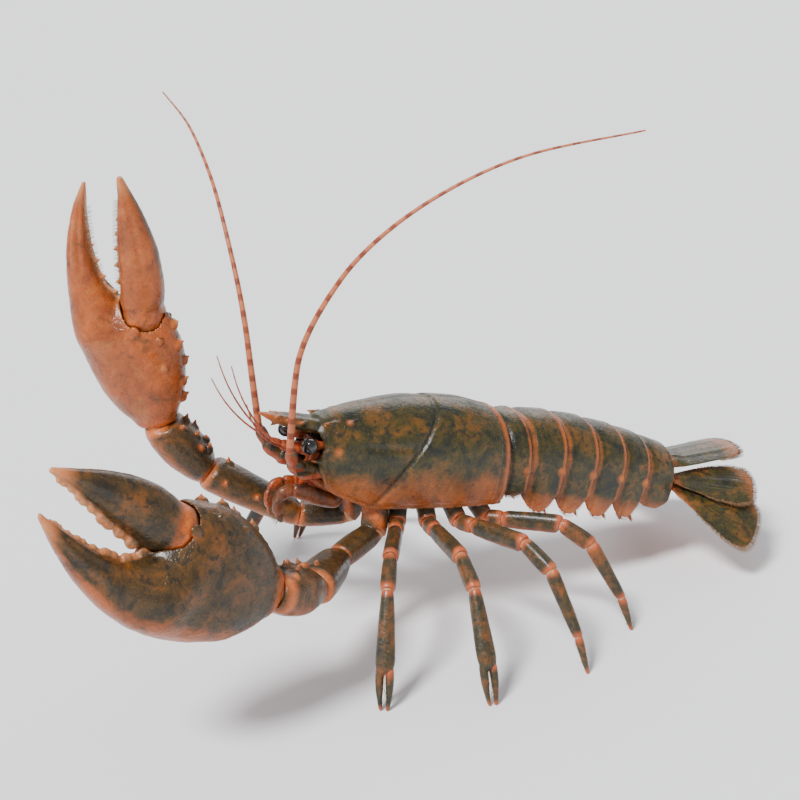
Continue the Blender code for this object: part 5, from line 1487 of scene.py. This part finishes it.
def leg_piece(name, part, shapes, start, end, node=None, swells=0.0002, ends=0.0026, pale=0.15,
              look=(LIMB_VOXEL, 2, 0.00014)):
    """One visible length of a walking leg, painted between its joints; look is voxel, smoothing and grain."""
    voxel, rounds, grains = look
    carried = {"nodes": (f"{name}_{node}",), "slot": "leg_shell"} if node else {}
    made = piece(f"{name}_{part}", shapes, LEG_SHELL, voxel, swells, grains, rounds=rounds, **carried)
    limb_paint(made, start, end, ends=ends, pale=pale)


def make_leg(word, side, number, sizes):
    (root, coxa, knee, shin, ankle, toe), flat = leg_joints(side, sizes)
    name = f"{word}_leg_{number}"
    shin_way = bisector(knee, shin, ankle)
    places = [root, coxa, coxa.lerp(knee, .24), knee, shin, ankle, toe]
    ways = [TRUNK_DOWN, bisector(root, coxa, knee), (knee - coxa).normalized(), bisector(coxa, knee, shin),
            shin_way, bisector(shin, ankle, toe), DOWN]
    skins = [(coxa, LEG_ROOT_RADIUS * .74), (places[2], .0036), (knee, .0034), (shin, .0033), (ankle, .0022)]
    for k, (part, (ahead, behind), rows, values) in enumerate(LEG_PARTS):
        if part == "propodus":
            joint_skin(f"{name}_skin", skins[:-1] if sizes["pincer"] else skins)
            if sizes["pincer"]:
                make_pincer(name, shin, ankle, toe, flat, shin_way)
                return
        shape = article(places[k] + ways[k] * ahead, places[k + 1] - ways[k + 1] * behind,
                        ways[k], ways[k + 1], rows, flat, lip=0 if part == "dactyl" else 0.0012)
        leg_piece(name, part, [shape], places[k], places[k + 1], **values)
    leg_hair(name, shin, ankle, toe)


def make_pincer(name, shin, ankle, toe, flat, shin_way):
    """The small claw of a front walking leg: one finger fixed, the other on its own hinge."""
    way = (ankle - shin).normalized()
    half, apart = 0.0026, 0.0018
    palm = article(shin + shin_way * .0002, ankle + way * .0022, shin_way, way, PINCER_PALM, flat, lip=0)
    fingers = []
    for sign in SIDES:
        begin = ankle + flat * sign * half * 0.9 - way * .0035
        middle = ankle.lerp(toe, .45) + flat * sign * (half + .0008)
        finish = toe + flat * sign * apart
        rows = []
        for s in spaced(0, 1, 30):
            centre = begin * (1 - s) ** 2 + middle * 2 * s * (1 - s) + finish * s * s
            size = smooth(PINCER_FINGER, s)
            along = (finish - begin).lerp(DOWN * (finish - begin).length, step(.8, 1, s))
            rows.append(ring(centre, along, flat, size, size * (1.35 - .35 * s), 24))
        fingers.append(loft(rows, STAND))
    leg_piece(name, "propodus", [palm, fingers[0]], shin, toe, "lower", look=(LIMB_VOXEL, 3, 0.00014))
    leg_piece(name, "dactyl", [fingers[1]], ankle, toe, "tip", 0.0001, look=TIP_LOOK)
    leg_hair(name, shin, ankle, toe)


def leg_hair(name, shin, ankle, toe):
    """Tufts round the last two joints of a walking leg."""
    hairs = []
    for start, end, radius in ((shin.lerp(ankle, .55), ankle, .0030), (ankle, ankle.lerp(toe, .8), .0018)):
        way = (end - start).normalized()
        side = way.orthogonal().normalized()
        over = way.cross(side)
        for _ in range(70):
            angle, s = random.uniform(0, math.tau), random.uniform(0, 1)
            out = side * math.cos(angle) + over * math.sin(angle)
            hairs.append((STAND @ (start.lerp(end, s) + out * radius * (1 - .3 * s)), out * .8 + way, .0030))
    strands(f"{name}_setae", hairs, 0.00009)


def make_sternum():
    """The narrow plates between the legs' roots."""
    knobs = [(-.040, .0032, (.019, .046, .0026))]
    for x, y in [(ARM_ROOT.x, ARM_ROOT.y)] + [sizes["root"] for sizes in LEGS]:
        knobs += [(y, .0016, (x * 0.62, .0050, .0020)), (y + .007, .0020, (x * 0.9, .0022, .0020))]
    shapes = [ball(TRUNK @ Vector((0, y, z)), sizes, TRUNK_TURN) for y, z, sizes in knobs]
    piece("sternum", shapes, JOINT_SKIN, SHELL_VOXEL, 0.0003, 0.00014, rounds=3)


# The studio

CAMERA_AZIMUTH = math.radians(62.0)
CAMERA_ELEVATION = math.radians(19.5)
CAMERA_TARGET = Vector((0.0380, -0.0013, 0.1330))
CAMERA_DISTANCE = 1.00
CAMERA_LENS = 78.5
FLOOR_REACH = 40.0
# Suns: name, from where, spread in degrees and strength
LIGHTS = (("key", (0.5, -1.2, 1.75), 15.0, 5.0), ("rim", (-1.4, 0.9, 1.2), 40.0, 0.9))
LIT_MIDDLE = Vector((0.0, 0.0, 0.08))


def make_sky():
    """Soft light from all round, brightest low down where it meets the floor."""
    world = bpy.data.worlds.new("studio")
    bpy.context.scene.world = world
    world.use_nodes = True
    nodes, links = world.node_tree.nodes, world.node_tree.links
    place = nodes.new("ShaderNodeTexCoord")
    split = nodes.new("ShaderNodeSeparateXYZ")
    fade = nodes.new("ShaderNodeValToRGB")
    links.new(place.outputs["Generated"], split.inputs["Vector"])
    links.new(split.outputs["Z"], fade.inputs["Fac"])
    links.new(fade.outputs["Color"], nodes["Background"].inputs["Color"])
    low, high = fade.color_ramp.elements
    low.position, high.position = 0.04, 0.45
    low.color, high.color = (1.0, 1.0, 1.0, 1.0), (0.42, 0.44, 0.47, 1.0)
    nodes["Background"].inputs["Strength"].default_value = 1.2


def make_studio():
    corners = [(x * FLOOR_REACH, y * FLOOR_REACH, 0) for x, y in ((-1, -1), (1, -1), (1, 1), (-1, 1))]
    floor_mesh = bpy.data.meshes.new("floor")
    floor_mesh.from_pydata(corners, [], [(0, 1, 2, 3)])
    n = Nodes("studio_floor")
    tone = n.noise(3.0, 2.0)
    colour, roughness = n.ramp(tone, (0, 0.86), (1, 0.89)), n.ramp(tone, (0, 0.75), (1, 0.8))
    floor_mesh.materials.append(n.finish(colour, roughness, tone, 0.0001))
    floor = placed("floor", floor_mesh)
    make_sky()
    for name, place, spread, power in LIGHTS:
        sun = with_values(bpy.data.lights.new(name, "SUN"), angle=math.radians(spread), energy=power)
        lamp = placed(name, sun)
        lamp.location = place
        lamp.rotation_euler = (Vector(place) - LIT_MIDDLE).to_track_quat("Z", "Y").to_euler()
    camera = placed("camera", with_values(bpy.data.cameras.new("camera"), lens=CAMERA_LENS))
    back = Vector((math.sin(CAMERA_AZIMUTH) * math.cos(CAMERA_ELEVATION),
                   -math.cos(CAMERA_AZIMUTH) * math.cos(CAMERA_ELEVATION), math.sin(CAMERA_ELEVATION)))
    camera.location = CAMERA_TARGET + back * CAMERA_DISTANCE
    camera.rotation_euler = back.to_track_quat("Z", "Y").to_euler()
    bpy.context.scene.camera = camera


make_studio()
make_carapace()
make_mouth()
make_sternum()
make_tail()
make_blade("telson", 1, "fan_telson")
for word, side in WORDS:
    make_blade("uropod_inner", side, f"fan_uropod_inner_{word}")
    make_blade("uropod_outer", side, f"fan_uropod_outer_{word}")
    make_eye(word, side)
    make_antennule(word, side)
    make_antenna(word, side)
    make_mouth_leg(word, side)
    make_arm(word, ARMS[word])
    make_claw(word, ARMS[word])
    for number, sizes in enumerate(LEGS, 1):
        make_leg(word, side, number, sizes)
